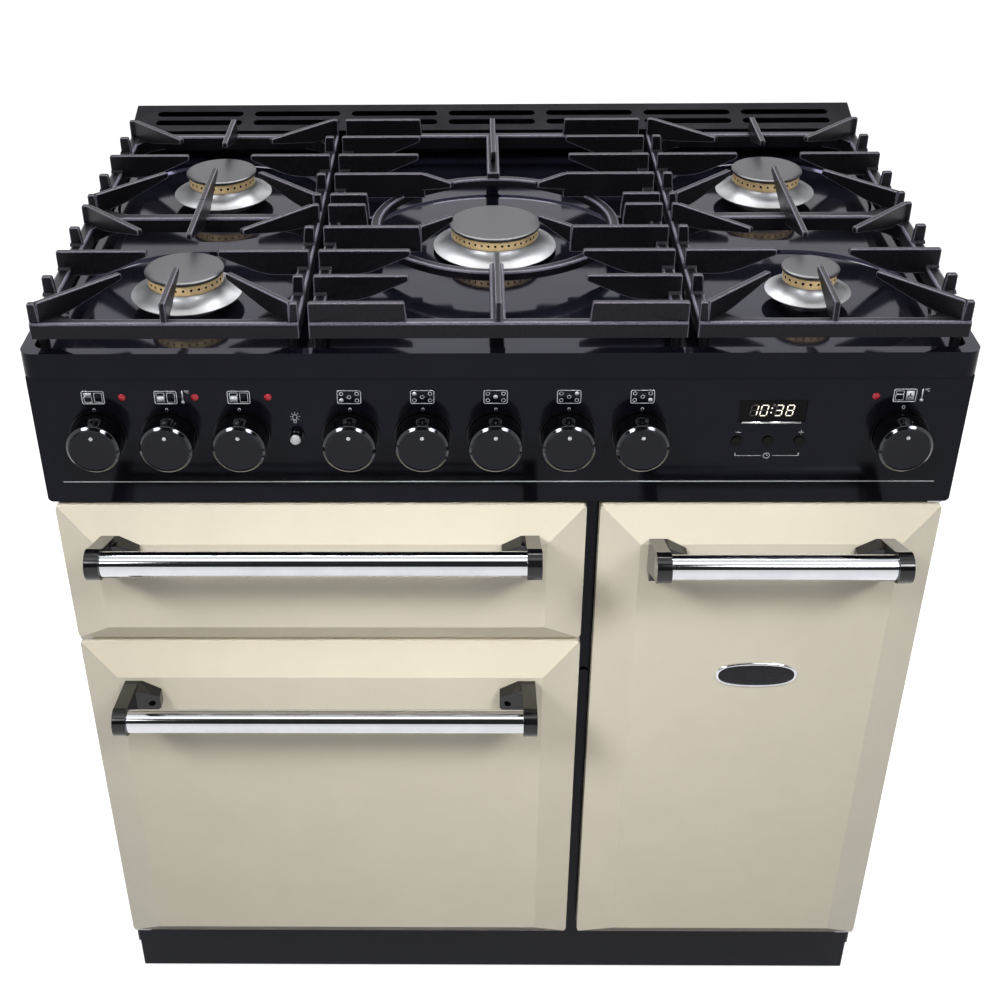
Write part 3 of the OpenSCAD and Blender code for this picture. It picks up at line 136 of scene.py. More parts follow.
def add(tree, kind, settings=None, links=None):
    """Adds one node, sets its sockets or properties by name, and links its sockets by name."""
    made = tree.nodes.new(kind)
    for key, value in (settings or {}).items():
        if key in made.inputs:
            made.inputs[key].default_value = value
        else:
            setattr(made, key, value)
    for key, source in (links or {}).items():
        tree.links.new(source, made.inputs[key])
    return made


def finish(name, low, high, grain, rough, bump=0.0, dip=0.1, spread=(0.35, 0.65), **shader):
    """A surface whose colour drifts from low to high over grains of the given size in mm, whose roughness
    drifts with them, and whose face has bumps of the size bump and dip mm deep. The cloud of grains turns
    from low to high between the two values of spread; other names are the shader's own sockets."""
    made = bpy.data.materials.new(name)
    made.use_nodes = True
    tree = made.node_tree
    body = tree.nodes["Principled BSDF"]
    for key, value in shader.items():
        body.inputs[key.replace("_", " ")].default_value = value
    place = add(tree, "ShaderNodeTexCoord")
    cloud = add(tree, "ShaderNodeTexNoise", {"Scale": 1000 / grain, "Detail": 4.0, "Roughness": 0.6},
                {"Vector": place.outputs["Object"]})
    shade = add(tree, "ShaderNodeValToRGB", {}, {"Fac": cloud.outputs["Fac"]})
    shade.color_ramp.elements[0].position = spread[0]
    shade.color_ramp.elements[1].position = spread[1]
    shade.color_ramp.elements[0].color = linear(low)
    shade.color_ramp.elements[1].color = linear(high)
    tree.links.new(shade.outputs["Color"], body.inputs["Base Color"])
    wear = add(tree, "ShaderNodeMapRange",
               {"From Min": 0.3, "From Max": 0.7, "To Min": rough[0], "To Max": rough[1]},
               {"Value": cloud.outputs["Fac"]})
    tree.links.new(wear.outputs["Result"], body.inputs["Roughness"])
    if bump:
        fine = add(tree, "ShaderNodeTexNoise", {"Scale": 1000 / bump, "Detail": 2.0},
                   {"Vector": place.outputs["Object"]})
        relief = add(tree, "ShaderNodeBump", {"Strength": 1.0, "Distance": dip / 1000},
                     {"Height": fine.outputs["Fac"]})
        tree.links.new(relief.outputs["Normal"], body.inputs["Normal"])
    return made


print("white is", linear("#ffffff"), "and mid grey", [round(v, 3) for v in linear("#808080")])

# %% [markdown]
# Vitreous enamel is glass fired onto steel. It flows before it sets, so it is glossy with a very shallow
# orange peel, which makes long reflections waver. Noise 8 to 40 mm wide and 0.01 mm deep gives that.
# The black of the hob and the cream of the fronts are the same glass with other pigments. The panel and the
# vent mirror less than the hob does, so they stay black where the hob shows the white room.

# %% Enamels
hob_enamel = finish("vitreous_enamel_gloss_black", "#09090f", "#0d0d15", 60, (0.07, 0.1), 40, 0.01,
                    Specular_IOR_Level=0.42, Specular_Tint=(0.62, 0.6, 1.0, 1.0))
panel_enamel = finish("vitreous_enamel_deep_black", "#07070c", "#0b0b12", 60, (0.1, 0.14), 40, 0.01,
                      Specular_IOR_Level=0.15, Specular_Tint=(0.8, 0.83, 1.0, 1.0))
vent_enamel = finish("vitreous_enamel_on_vent", "#08080d", "#0b0b11", 60, (0.14, 0.2), 40, 0.01,
                     Specular_IOR_Level=0.07, Specular_Tint=(0.82, 0.82, 1.0, 1.0))
cream_enamel = finish("vitreous_enamel_gloss_cream", "#d4ccb9", "#d7cfbc", 60, (0.14, 0.18), 8, 0.006,
                      Specular_IOR_Level=0.45)
oven_enamel = finish("vitreous_enamel_oven_grey", "#2c2e33", "#3a3c42", 3, (0.3, 0.4), 5, 0.02,
                     spread=(0.5, 0.75))
cap_enamel = finish("matt_enamel_on_burner_caps", "#232328", "#2a2a30", 1.2, (0.3, 0.36), 0.8, 0.006)
print("six enamels")

# %% [markdown]
# Cast iron for pan supports comes from a sand mould and keeps the sand's grit under its matt enamel.
# The grit is about half a millimetre; drawn at one to two millimetres it shows in this picture. The rounded
# strips along the edges have a lighter colour, a painted highlight for the light lines along a casting's
# edges.

# %% Castings
cast_iron = finish("cast_iron_matt_enamelled", "#08080a", "#19181e", 1.6, (0.28, 0.42), 1.3, 0.08,
                   spread=(0.35, 0.75), Specular_IOR_Level=0.2, Specular_Tint=(0.92, 0.88, 1.0, 1.0))
# A lighter colour painted on the rounded edges of the pan supports: a painted highlight.
iron_edge_highlight = finish("cast_iron_painted_edge_highlight", "#4c4a54", "#6f6c78", 1.6, (0.28, 0.42), 1.3, 0.05,
                   spread=(0.35, 0.75), Specular_IOR_Level=0.2, Specular_Tint=(0.92, 0.88, 1.0, 1.0))
alloy = finish("die_cast_aluminium_satin", "#808184", "#8d8e91", 30, (0.38, 0.46), Metallic=1.0)
cast_gloss = finish("die_cast_lacquered_black", "#0b0b0d", "#121215", 12, (0.08, 0.14), 5, 0.01)
brass = finish("turned_brass", "#eccb94", "#f4d9a6", 5, (0.4, 0.5), 1.5, 0.006, Metallic=0.35)
print("castings and brass")

# %% [markdown]
# Chrome on a polished tube is nearly a mirror: what it shows is the room. A little haze in its roughness
# keeps it from looking like a perfect mirror. Zinc plate on the inner steel is duller and faintly clouded.

# %% Bright metals
chrome = finish("chromium_plate_polished", "#cfd1d6", "#d6d8dc", 30, (0.04, 0.07), Metallic=1.0)
zinc = finish("zinc_plated_steel", "#a7a9ab", "#bdbfc2", 9, (0.3, 0.45), Metallic=1.0)
wire_chrome = finish("chromium_plated_wire", "#cfd1d4", "#e0e1e4", 12, (0.12, 0.2), Metallic=1.0)
fitting_brass = finish("machined_brass_fitting", "#b9924f", "#d3ad6c", 4, (0.3, 0.42), Metallic=1.0)
sheath = finish("oxidised_element_sheath", "#2d2723", "#4a423b", 3, (0.45, 0.6), Metallic=0.6)
print("bright metals")

# %% [markdown]
# The rest are plain shop finishes. Powder coat is dull with a fine orange peel. Phenolic knobs come glossy
# from a polished mould; switch cases, feet and buttons are moulded matt. Smoked glass is dark and clear,
# glazed ceramic shines, and woven seals scatter light, so they look soft.

# %% Plastics, paint and fibre
case_paint = finish("powder_coat_black", "#141416", "#1c1c1f", 2, (0.4, 0.5), 1.0, 0.03)
knob_black = finish("phenolic_gloss_black", "#060608", "#09090c", 20, (0.1, 0.14), 6, 0.002,
                    Specular_IOR_Level=0.26, Specular_Tint=(0.85, 0.87, 1.0, 1.0))
switch_moulding = finish("moulded_polyamide_off_white", "#cfc9ba", "#d9d4c7", 6, (0.45, 0.55), 1.5, 0.01)
foot_rubber = finish("moulded_rubber_black", "#161616", "#1f1f1f", 2, (0.6, 0.75), 1.2, 0.03)
door_core = finish("enamelled_inner_pan_grey", "#33353a", "#43454b", 4, (0.25, 0.35), 5, 0.02)
seal_fibre = finish("woven_glass_fibre", "#2b2b2b", "#55534f", 1.5, (0.8, 0.95), 1.2, 0.3)
ceramic = finish("glazed_ceramic", "#e3ded2", "#efebe2", 8, (0.12, 0.2))
clock_glass = finish("smoked_glass", "#050506", "#08080a", 30, (0.04, 0.07), Specular_IOR_Level=0.08)
button_black = finish("moulded_button_matt_black", "#040405", "#070708", 8, (0.3, 0.4), 1.0, 0.006,
                      Specular_IOR_Level=0.12)
red_lens = finish("moulded_red_lens", "#7c0713", "#b3152a", 1.4, (0.12, 0.2), 1.1, 0.1)
print("shop finishes")

# %% [markdown]
# Every solid gets its finish in its slots, and the table follows what each piece is made of. The pieces made
# below stand for some of these solids and take the same finishes.

# %% Finishes for the solids
SOLID_FINISH = {
    case_paint: "casing_panels",
    zinc: "base_tray gas_pipework fan_motors door_hinges left_oven_fan right_oven_fan grill_carriage",
    panel_enamel: "face_frame plinth control_panel",
    vent_enamel: "rear_vent",
    hob_enamel: "hob_top",
    button_black: "minus_button mode_button plus_button",
    knob_black: "knob_bezels grill_knob left_heat_knob left_mode_knob right_heat_knob "
                "front_left_knob back_left_knob middle_knob back_right_knob front_right_knob",
    foot_rubber: "feet",
    red_lens: "indicator_lamps",
    clock_glass: "clock_module",
    switch_moulding: "switch_bodies",
    fitting_brass: "gas_taps",
    alloy: "burner_bodies",
    brass: "burner_rings",
    cap_enamel: "burner_caps",
    ceramic: "spark_electrodes",
    oven_enamel: "grill_compartment left_oven_liner right_oven_liner fan_baffles grill_pan",
    wire_chrome: "oven_shelves light_button front_left_spindle back_left_spindle middle_spindle "
                 "back_right_spindle front_right_spindle",
    sheath: "heating_elements",
    seal_fibre: "door_seals",
    cast_iron: "pan_support_left pan_support_middle pan_support_right",
    cream_enamel: "grill_front left_door_front right_door_front",
    door_core: "left_door_liner right_door_liner",
    chrome: "grill_handle left_door_handle right_door_handle",
}
for material, names in SOLID_FINISH.items():
    for name in names.split():
        solid = frame["nodes"][name]
        if not solid.material_slots:
            solid.data.materials.append(material)
        for slot in solid.material_slots:
            slot.material = material
finished = sum(len(names.split()) for names in SOLID_FINISH.values())
print("finished", finished, "of", len(frame["nodes"]), "solids")

# %% [markdown]
# Pressed and cast edges are never knife sharp: a line of light runs along each. The solid's own mesh stays
# as it is, so a copy is merged, its flat faces are joined, and a Bevel modifier rounds the copy's edges.
# On a handle the same copy takes two finishes: faces near the bar's axis are chromed, the rest is lacquered.

# %% Soft-edged copies
HANDLE_Y = -82
HANDLE_Z = {"grill_handle": 718.5, "left_door_handle": 518.5, "right_door_handle": 714.5}


def soften(node, width, material, segments=3, angle=28, bar=None, front=None):
    """A copy of a solid with edges sharper than angle rounded by width mm; it stands for the solid.
    bar is (y, z, radius, material): faces whose middle is nearer than radius to that line along x, and that
    don't face along it, take the material. front is a material for the faces whose normal points to the
    viewer by more than 0.7."""
    solid = frame["nodes"][node]
    mesh = solid.data.copy()
    shape = bmesh.new()
    shape.from_mesh(mesh)
    bmesh.ops.remove_doubles(shape, verts=shape.verts, dist=2e-5)
    bmesh.ops.dissolve_limit(shape, angle_limit=math.radians(0.6), verts=shape.verts, edges=shape.edges)
    shape.to_mesh(mesh)
    shape.free()
    count = len(mesh.polygons)
    mesh.polygons.foreach_set("use_smooth", np.ones(count, bool))
    mesh.materials.clear()
    mesh.materials.append(material)
    number = np.zeros(count, np.int32)
    middle, normal = np.empty((2, count * 3), np.float32)
    mesh.polygons.foreach_get("center", middle)
    mesh.polygons.foreach_get("normal", normal)
    middle, normal = middle.reshape(-1, 3), normal.reshape(-1, 3)
    if bar:
        y, z, radius, bar_material = bar
        mesh.materials.append(bar_material)
        axis = metres([0, y, z])
        near = np.hypot(middle[:, 1] - axis[1], middle[:, 2] - axis[2]) < radius / 1000
        number[near & (abs(normal[:, 0]) < 0.5)] = 1
    if front:
        mesh.materials.append(front)
        number[normal[:, 1] < -0.7] = 1
    mesh.polygons.foreach_set("material_index", number)
    copy = bpy.data.objects.new("soft_" + node, mesh)
    bpy.context.scene.collection.objects.link(copy)
    bevel = copy.modifiers.new("soft_edges", "BEVEL")
    bevel.width = width / 1000
    bevel.segments = segments
    bevel.limit_method = "ANGLE"
    bevel.angle_limit = math.radians(angle)
    bevel.use_clamp_overlap = True
    even = copy.modifiers.new("even_shading", "WEIGHTED_NORMAL")
    even.weight = 60
    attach(copy, solid["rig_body"])
    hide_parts(node)
    print("soft edges on", node, count, "faces")


soften("hob_top", 1.2, hob_enamel, front=panel_enamel)
soften("rear_vent", 1.0, vent_enamel)
soften("control_panel", 1.2, panel_enamel)
for node in ("grill_front", "left_door_front", "right_door_front"):
    soften(node, 2.2, cream_enamel, segments=4, angle=15)
for node, z in HANDLE_Z.items():
    soften(node, 0.8, cast_gloss, bar=(HANDLE_Y, z, 12.6, chrome))

# %% [markdown]
# A turned part is one line turned round an axis: each point of the line has a radius and a height, and the
# whole surface is the radius times the cosine and sine of the angle. Corners of the line give way to short
# parabolas first, so that the part has the soft edges of a casting or a moulding.

# %% Turned shapes


def rounded(line, cuts, steps=4):
    """Each inner corner of a line gives way to a parabola that starts and ends a cut's length from it."""
    line = np.asarray(line, float)
    t = np.linspace(0, 1, steps + 1)[:, None]
    parts = [line[:1]]
    for before, corner, after, cut in zip(line[:-2], line[1:-1], line[2:], cuts):
        start = corner + (before - corner) * min(0.48, cut / np.linalg.norm(before - corner))
        end = corner + (after - corner) * min(0.48, cut / np.linalg.norm(after - corner))
        parts.append((1 - t) ** 2 * start + 2 * t * (1 - t) * corner + t ** 2 * end)
    return np.concatenate(parts + [line[-1:]])


def turned(line, centre, facing="up", columns=72):
    """Radius times cosine and sine of the angle, at the line's height, which goes up or comes out to the
    viewer."""
    line = np.asarray(line, float)
    angle = np.linspace(0, 2 * np.pi, columns, endpoint=False)
    u, v = line[:, :1] * np.cos(angle), line[:, :1] * np.sin(angle)
    height = line[:, 1:] + 0 * angle
    grid = np.stack([u, v, height] if facing == "up" else [u, -height, v], -1)
    return grid + np.asarray(centre, float)


print("a coin of radius 5:", turned([[0, 0], [5, 0], [5, 1], [0, 1]], (0, 0, 0)).shape)

# %% [markdown]
# One function puts such grids into a mesh at once: each point has a number, and the numbers of four
# neighbours make a face. Then poles and seams are closed and the faces are turned outwards.
# The first pieces made so are the small zinc discs in the ends of the handles. One disc is turned, laid on
# its side by putting its height along x, and mirrored for the left ends.

# %% Grids into meshes, and the first discs


def surface(name, grids, body, material, wrap=True, stands_for=(), flags=None, second=None, smooth=35):
    """Grids of points as one mesh: neighbours in row and column make a face, and with wrap the last column
    meets the first. Points that coincide, as at a pole, become one. Faces with a flagged corner take the
    second material, and edges sharper than smooth degrees stay sharp."""
    points, faces, numbers, start = [], [], [], 0
    for index, grid in enumerate(grids):
        rows, columns = grid.shape[:2]
        number = start + np.arange(rows * columns).reshape(rows, columns)
        beside = np.roll(number, -1, axis=1)
        if not wrap:
            number, beside = number[:, :-1], beside[:, :-1]
        quads = np.stack([number[:-1], beside[:-1], beside[1:], number[1:]], -1).reshape(-1, 4)
        points.append(grid.reshape(-1, 3))
        faces.append(quads)
        mark = np.zeros(len(quads), np.int32)
        if flags:
            mark = flags[index].reshape(-1)[quads - start].any(axis=1).astype(np.int32)
        numbers.append(mark)
        start += rows * columns
    mesh = bpy.data.meshes.new(name)
    mesh.from_pydata(metres(np.concatenate(points)), [], np.concatenate(faces))
    mesh.materials.append(material)
    if second:
        mesh.materials.append(second)
    mesh.polygons.foreach_set("material_index", np.concatenate(numbers))
    shape = bmesh.new()
    shape.from_mesh(mesh)
    bmesh.ops.remove_doubles(shape, verts=shape.verts, dist=1e-6)
    bmesh.ops.recalc_face_normals(shape, faces=shape.faces)
    shape.to_mesh(mesh)
    shape.free()
    mesh.polygons.foreach_set("use_smooth", np.ones(len(mesh.polygons), bool))
    mesh.set_sharp_from_angle(angle=math.radians(smooth))
    made = bpy.data.objects.new(name, mesh)
    bpy.context.scene.collection.objects.link(made)
    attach(made, body)
    if stands_for:
        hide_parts(*stands_for)
    return made


disc_line = rounded([[0, -0.2], [9.6, -0.2], [9.6, 0.2], [0, 0.4]], (0.1, 0.2))
end_disc = turned(disc_line, (0, 0, 0), columns=48)[..., [2, 0, 1]]
for node, z in HANDLE_Z.items():
    low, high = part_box(node)
    discs = [end_disc * [side, 1, 1] + [x * 1000, HANDLE_Y, z] for side, x in ((-1, low[0]), (1, high[0]))]
    surface("end_discs_" + node, discs, frame["nodes"][node]["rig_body"], zinc)
print("six end discs")

# %% [markdown]
# A pan support is one iron casting. Its bars, its fingers and the webs in its corners are the same kind of
# shape: a flat outline with some thickness, whose edges the mould leaves soft. So one function makes them all
# from an outline. The light lines along a casting's edges come partly from that softness, where a rounded
# edge has a strip that faces a lamp, and partly from a lighter colour painted on those strips as a highlight.

# %% Cast plates
LONG_PIECE = 20


def inset(outline, by):
    """Each corner of a closed outline moves inwards along the mean of its edges' normals, further where it
    is sharp."""
    edge = np.roll(outline, -1, 0) - outline
    edge /= np.linalg.norm(edge, axis=1, keepdims=True)
    normal = np.stack([edge[:, 1], -edge[:, 0]], 1)
    before = np.roll(normal, 1, 0)
    return outline - by * (normal + before) / (1 + (normal * before).sum(1, keepdims=True))


def loop(corners, cuts):
    """A closed outline, turned anticlockwise, whose corners give way to parabolas, or stay sharp with a cut
    of 0. A long side gets a point 1 mm from each of its ends, so that the shading of a corner ends there."""
    p = np.asarray(corners, float)
    cuts = np.broadcast_to(np.asarray(cuts, float), len(p))
    ahead = np.roll(p, -1, 0)
    if (p[:, 0] * ahead[:, 1] - ahead[:, 0] * p[:, 1]).sum() < 0:
        p, cuts = p[::-1], cuts[::-1]
    line = rounded(np.concatenate([p[-1:], p, p[:1]]), cuts, 3)[1:-1]
    line = line[np.linalg.norm(line - np.roll(line, 1, 0), axis=1) > 0.05]
    side = np.roll(line, -1, 0) - line
    length = np.linalg.norm(side, axis=1, keepdims=True)
    long = np.flatnonzero(length[:, 0] > 4)
    near = side[long] / length[long]
    extra = np.stack([line[long] + near, line[long] + side[long] - near], 1).reshape(-1, 2)
    return np.insert(line, np.repeat(long + 1, 2), extra, axis=0)


def cast(outline, thickness, origin, along, up=(0, 0, 1), soft=1.1):
    """The outline through the thickness: at an angle t from a face to the side it lies soft * (1 - sin t)
    inside itself and soft * (1 - cos t) under the face, and the faces close at the outline's middle. Two more
    rings on each face, and one on the side of a long piece, keep the shading of the rounding beside it."""
    t = np.linspace(0, np.pi / 2, 4)
    inside = np.concatenate([[soft + 0.45], soft * (1 - np.sin(t))])
    depth = thickness / 2 - np.concatenate([[0, 0], soft * (1 - np.cos(t))])
    rings = [inset(outline, i) for i in inside]
    middle = np.broadcast_to(outline.mean(0), outline.shape)
    inwards = middle - rings[0]
    rings.insert(0, rings[0] + inwards / np.linalg.norm(inwards, axis=1, keepdims=True) * min(1.0, soft))
    if thickness > LONG_PIECE:
        rings.append(rings[-1])
        depth = np.append(depth, thickness / 2 - soft - 1)
    flat = np.stack([middle] + rings + rings[::-1] + [middle])
    deep = np.concatenate([[thickness / 2], depth, -depth[::-1], [-thickness / 2]])
    along = np.array([along[0], along[1], 0.0]) / np.hypot(along[0], along[1])
    up = np.array(up, float)
    across = np.cross(along, up)
    place = np.asarray(origin, float) + flat[..., :1] * along
    return place + flat[..., 1:] * up + deep[:, None, None] * across


print("a plate's grid", cast(loop([[0, 0], [12, 0], [12, 20], [0, 20]], 2), 6, (0, 0, 0), (1, 0)).shape)

# %% [markdown]
# The rounded strips of a support get a painted highlight. Which rows and columns of a grid lie on a rounding
# is known from how it was made, so their points are flagged, and the faces at them take the lighter colour.

# %% Painted edge highlights
PLATE_ROWS, BAR_ROWS, RING_ROWS = 14, 16, 18


def edge_highlight_strips(grid):
    """Marks the rounded strips that take the painted edge highlight, told by the grid's count of rows: the
    two rows inside each face's rounding and, on a long bar, the points inside each corner's parabola, which
    have near neighbours on both sides; on the turned ring, the rows inside its two upper corners."""
    rows, columns = grid.shape[:2]
    from_end = np.minimum(np.arange(rows), np.arange(rows)[::-1])
    marked = np.zeros((rows, columns), bool)
    if rows == RING_ROWS:
        marked[[6, 7, 10, 11]] = True
    if rows in (PLATE_ROWS, BAR_ROWS):
        marked[(from_end == 4) | (from_end == 5)] = True
    if rows == BAR_ROWS:
        near = np.linalg.norm(grid[7] - np.roll(grid[7], 1, 0), axis=1) < 1.6
        inner = near & np.roll(near, -1)
        marked[6:10] |= inner & np.roll(inner, 1) & np.roll(inner, -1)
    return marked


# Counts the points of a plate that take the painted edge highlight.
print("rubbed points of a plate:", edge_highlight_strips(np.zeros((PLATE_ROWS, 24, 3))).sum(), "of", PLATE_ROWS * 24)

# %% [markdown]
# Bars carry the fingers that a pan stands on, uprights join bar and finger, webs stiffen the corners, and a
# small fillet runs along each finger's foot, because a mould has no sharp inner corners.

# %% Parts of a support
IRON_FOOT, IRON_LOW, IRON_BAR, IRON_TOP = 894.05, RIM_Z + 11, RIM_Z + 27, RIM_Z + 46
FRONT, MIDDLE, BACK = 5.25, 265.5, 525.75


def finger(x, y, along, length, root=0.5, deep=7):
    """A finger from its root to its tip: level below, then tapering up, 6 mm thick."""
    low = IRON_BAR - deep
    line = loop([[0, low], [length * root, low], [length, IRON_TOP - 6], [length, IRON_TOP], [0, IRON_TOP]],
                (0, 14 if length * root > 20 else 2, 2.2, 2.4, 2.2))
    return cast(line, 6, (x, y, 0), along)


def upright(x, y, along, length, low=IRON_BAR - 2):
    """A plate that rises from a bar, leaning back a little at its end."""
    line = loop([[0, low], [length, low], [length, IRON_BAR + 3], [length - 1.6, IRON_TOP], [0, IRON_TOP]],
                (0, 0, 2.0, 2.2, 2.2))
    return cast(line, 6, (x, y, 0), along)


def bar(a, b, start, end, lies="x", sink=0.0):
    """A bar with softened upper edges between two places across it, from start to end along it."""
    low, top = IRON_LOW + sink, IRON_BAR - sink
    section = loop([[a + sink, low], [b - sink, low], [b - sink, top], [a + sink, top]], (0, 0, 2.4, 2.4))
    if lies == "x":
        return cast(section, end - start, ((start + end) / 2, 0, 0), (0, 1))
    return cast(section, end - start - 0.6, (0, (start + end) / 2, 0), (1, 0))


def web(x, y, a, b):
    """The gusset in a corner of a frame, which points along a in x and b in y."""
    plan = loop([[-3 * a, -3 * b], [28 * a, -3 * b], [28 * a, 0], [9 * a, 9 * b], [0, 28 * b],
                 [-3 * a, 28 * b]], (0, 0, 0, 12, 0, 0))
    return cast(plan, 15.8, (x, y, (IRON_LOW + IRON_BAR) / 2), (1, 0), up=(0, 1, 0), soft=1.0)


def root(x, y, along, length):
    """The fillet on both sides of a finger's foot, 2.6 mm high and wide, on the bar that carries it."""
    line = loop([[-5.6, 0], [5.6, 0], [3.0, 2.6], [-3.0, 2.6]], 0)
    middle = np.array([x, y, IRON_BAR - 0.3]) + np.array([along[0], along[1], 0]) * length / 2
    return cast(line, length, middle, (-along[1], along[0]), soft=0.3)


def frame_bars(x0, x1, y0, y1, end0, end1):
    """Four bars and the webs in their corners."""
    grids = [bar(y0, y0 + end0, x0, x1), bar(y1 - end1, y1, x0, x1),
             bar(x0, x0 + 13, y0, y1, "y", 0.04), bar(x1 - 13, x1, y0, y1, "y", 0.04)]
    for x, a in ((x0 + 13, 1), (x1 - 13, -1)):
        for y, b in ((y0 + end0, 1), (y1 - end1, -1)):
            grids.append(web(x, y, a, b))
    return grids


def stub_foot(x, y):
    """A round foot under a bar, down to the hob's floor."""
    line = rounded([[0, IRON_FOOT], [5, IRON_FOOT], [5, IRON_LOW + 1], [0, IRON_LOW + 1]], (1, 0.5))
    return turned(line, (x, y, 0), columns=24)


print("a finger 90 mm long:", finger(0, 0, (1, 0), 90).shape)

# %% [markdown]
# A side support has two frames that share a bar, one round each burner. The middle support has one long
# frame; a ring on two ribs carries the wok burner's fingers, and four of its fingers are bent towards it.

# %% Pan supports


def side_support(side):
    """The support over two side burners, drawn for the right and mirrored for the left."""
    x0, x1, middle = 186.5, 439.5, 313.0
    grids = frame_bars(x0, x1, FRONT, MIDDLE + 6.5, 10.5, 13)
    grids += frame_bars(x0, x1, MIDDLE - 6.5, BACK, 13, 10.5)
    for y in (130.5, 400.5):
        for x, a in ((x0, 1), (x1, -1)):
            for e in (-1, 1):
                grids.append(upright(x, y + 120 * e, (a, 0), 9.5))
                grids.append(finger(x + 7 * a, y + 120 * e, (a, -e), 95.3, 0.3, 2))
                grids.append(upright(x, y + 60 * e, (a, 0), 12))
                grids.append(root(x + 1, y + 60 * e, (a, 0), 11))
            grids.append(finger(x, y, (a, 0), 91))
            grids.append(root(x, y, (a, 0), 12.5))
    grids += [finger(middle, FRONT + 2, (0, 1), 84, 0.3, 2), finger(middle, BACK - 2, (0, -1), 84, 0.3, 2)]
    grids += [finger(middle, MIDDLE, (0, e), 95, 0.15, 7) for e in (-1, 1)]
    grids += [stub_foot(x, y) for x in (x0 + 9, x1 - 9) for y in (FRONT + 12, BACK - 12)]
    return [grid * [side, 1, 1] for grid in grids]


def middle_support():
    """The support over the wok burner."""
    x1 = 177.5
    grids = frame_bars(-x1, x1, FRONT, BACK, 10.5, 10.5)
    section = rounded([[128, IRON_LOW], [133.5, IRON_LOW], [133.5, RIM_Z + 20.5], [123, RIM_Z + 20.5],
                       [123, IRON_LOW], [128, IRON_LOW]], (1, 2.2, 2.2, 1), 3)
    grids.append(turned(section, (0, MIDDLE, 0), columns=120))
    for e in (-1, 1):
        end = MIDDLE + 124.5 * e
        outer = FRONT if e < 0 else BACK
        grids.append(bar(-7.25, 7.25, min(outer, end), max(outer, end), "y", 0.02))
        grids.append(finger(0, outer - 2 * e, (0, -e), 117, 0.8, 2))
        for x, a in ((-x1, 1), (x1, -1)):
            row = MIDDLE + 135 * e
            grids += [upright(x, row + 120 * e, (a, 0), 92), finger(x, row, (a, 0), 92)]
            grids.append(finger(x, row + 60 * e, (a, 0), 92))
            grids += [root(x, row, (a, 0), 12.5), root(x, row + 60 * e, (a, 0), 12.5)]
            grids += [upright(x, row - 60 * e, (a, 0), 101, RIM_Z + 18), root(x, row - 60 * e, (a, 0), 12.5)]
            grids.append(finger(x + 98.5 * a, row - 60 * e, (a * 0.7547, -e * 0.6561), 44, 0.05, 0))
            grids.append(upright(x, MIDDLE + 15 * e, (a, 0), 42, RIM_Z + 12))
            link = loop([[0, IRON_LOW + 0.1], [54, IRON_LOW + 0.1], [54, RIM_Z + 19.4], [0, RIM_Z + 19.4]], 0)
            grids.append(cast(link, 6, (x, MIDDLE + 15 * e, 0), (a, 0)))
    grids += [stub_foot(x, y) for x in (-x1 + 9, x1 - 9) for y in (FRONT + 12, BACK - 12)]
    return grids


for name, grids in (("left", side_support(-1)), ("middle", middle_support()), ("right", side_support(1))):
    # Faces on the rounded strips take the lighter colour, a painted edge highlight.
    surface("cast_support_" + name, grids, "pan_support_" + name, cast_iron,
            stands_for=["pan_support_" + name], flags=[edge_highlight_strips(grid) for grid in grids], second=iron_edge_highlight)
    print("bars, fingers, webs and feet of the", name, "support:", len(grids))

# %% [markdown]
# A burner is three turned parts: an alloy body that flares over the hob, a brass ring with a row of flame
# ports, and an enamelled cap. The ports are drilled in the ring's grid of points: columns and rows crowd
# round each port, and the points within its radius are pushed in. Their faces take a near-black finish that
# stands for soot and paints the shade deep in each port.
# A row of the table holds x, y, the radius of the ring and of the skirt, the foot's z and the count of ports.

# %% Burners
BURNERS = {
    "front_left": (-313, 130.5, 37.5, 56.0, 905.6, 30),
    "back_left": (-313, 400.5, 37.5, 56.0, 905.6, 30),
    "middle": (0, 265.5, 46.5, 66.5, 897.5, 40),
    "back_right": (313, 400.5, 37.5, 56.0, 905.6, 30),
    "front_right": (313, 130.5, 26.5, 43.0, 905.6, 22),
}
FLARE_H, RING_H, CAP_T = 12.4, 11.0, 4.0
CUP_R, CUP_Z, WELL_Z = 24.0, 871.5, 894.0
PORT_R, PORT_Z, PORT_DEEP = 1.2, 5.5, 4.0
# Near-black for the faces deep in each flame port: soot, and painted shade in the port.
port_soot_and_shade = finish("port_wall_soot_and_painted_shade", "#060403", "#0b0705", 1, (0.8, 0.9), Specular_IOR_Level=0.05)


def flame_ring(x, y, r, z, ports):
    """A ring wall 5 mm thick: its radius is r, less the port's depth where a point lies within a port.
    Returns the grid of points and which of them are in a port."""
    pitch = 2 * np.pi * r / ports
    near = np.array([-1.3, -1.15, -1.05, -0.6, 0, 0.6, 1.05, 1.15, 1.3])
    along = (np.arange(ports)[:, None] * pitch + near).ravel()
    level = z + np.array([0, 0, 0.5, 3.2, 4.2, 4.35, 4.45, 4.9, PORT_Z, 6.1, 6.55, 6.65, 6.8, 8.7, RING_H,
                          RING_H, 0])
    wall = np.array([-5, -0.4] + [0] * 12 + [0, -5, -5], float)
    near_along = np.tile(near, ports)
    inside = np.hypot(level[:, None] - z - PORT_Z, near_along[None]) < PORT_R
    inside &= (wall[:, None] == 0)
    radius = r + wall[:, None] - PORT_DEEP * inside
    angle = along / r
    grid = np.stack([radius * np.cos(angle), radius * np.sin(angle), level[:, None] + 0 * angle], -1)
    return grid + np.array([x, y, 0]), inside


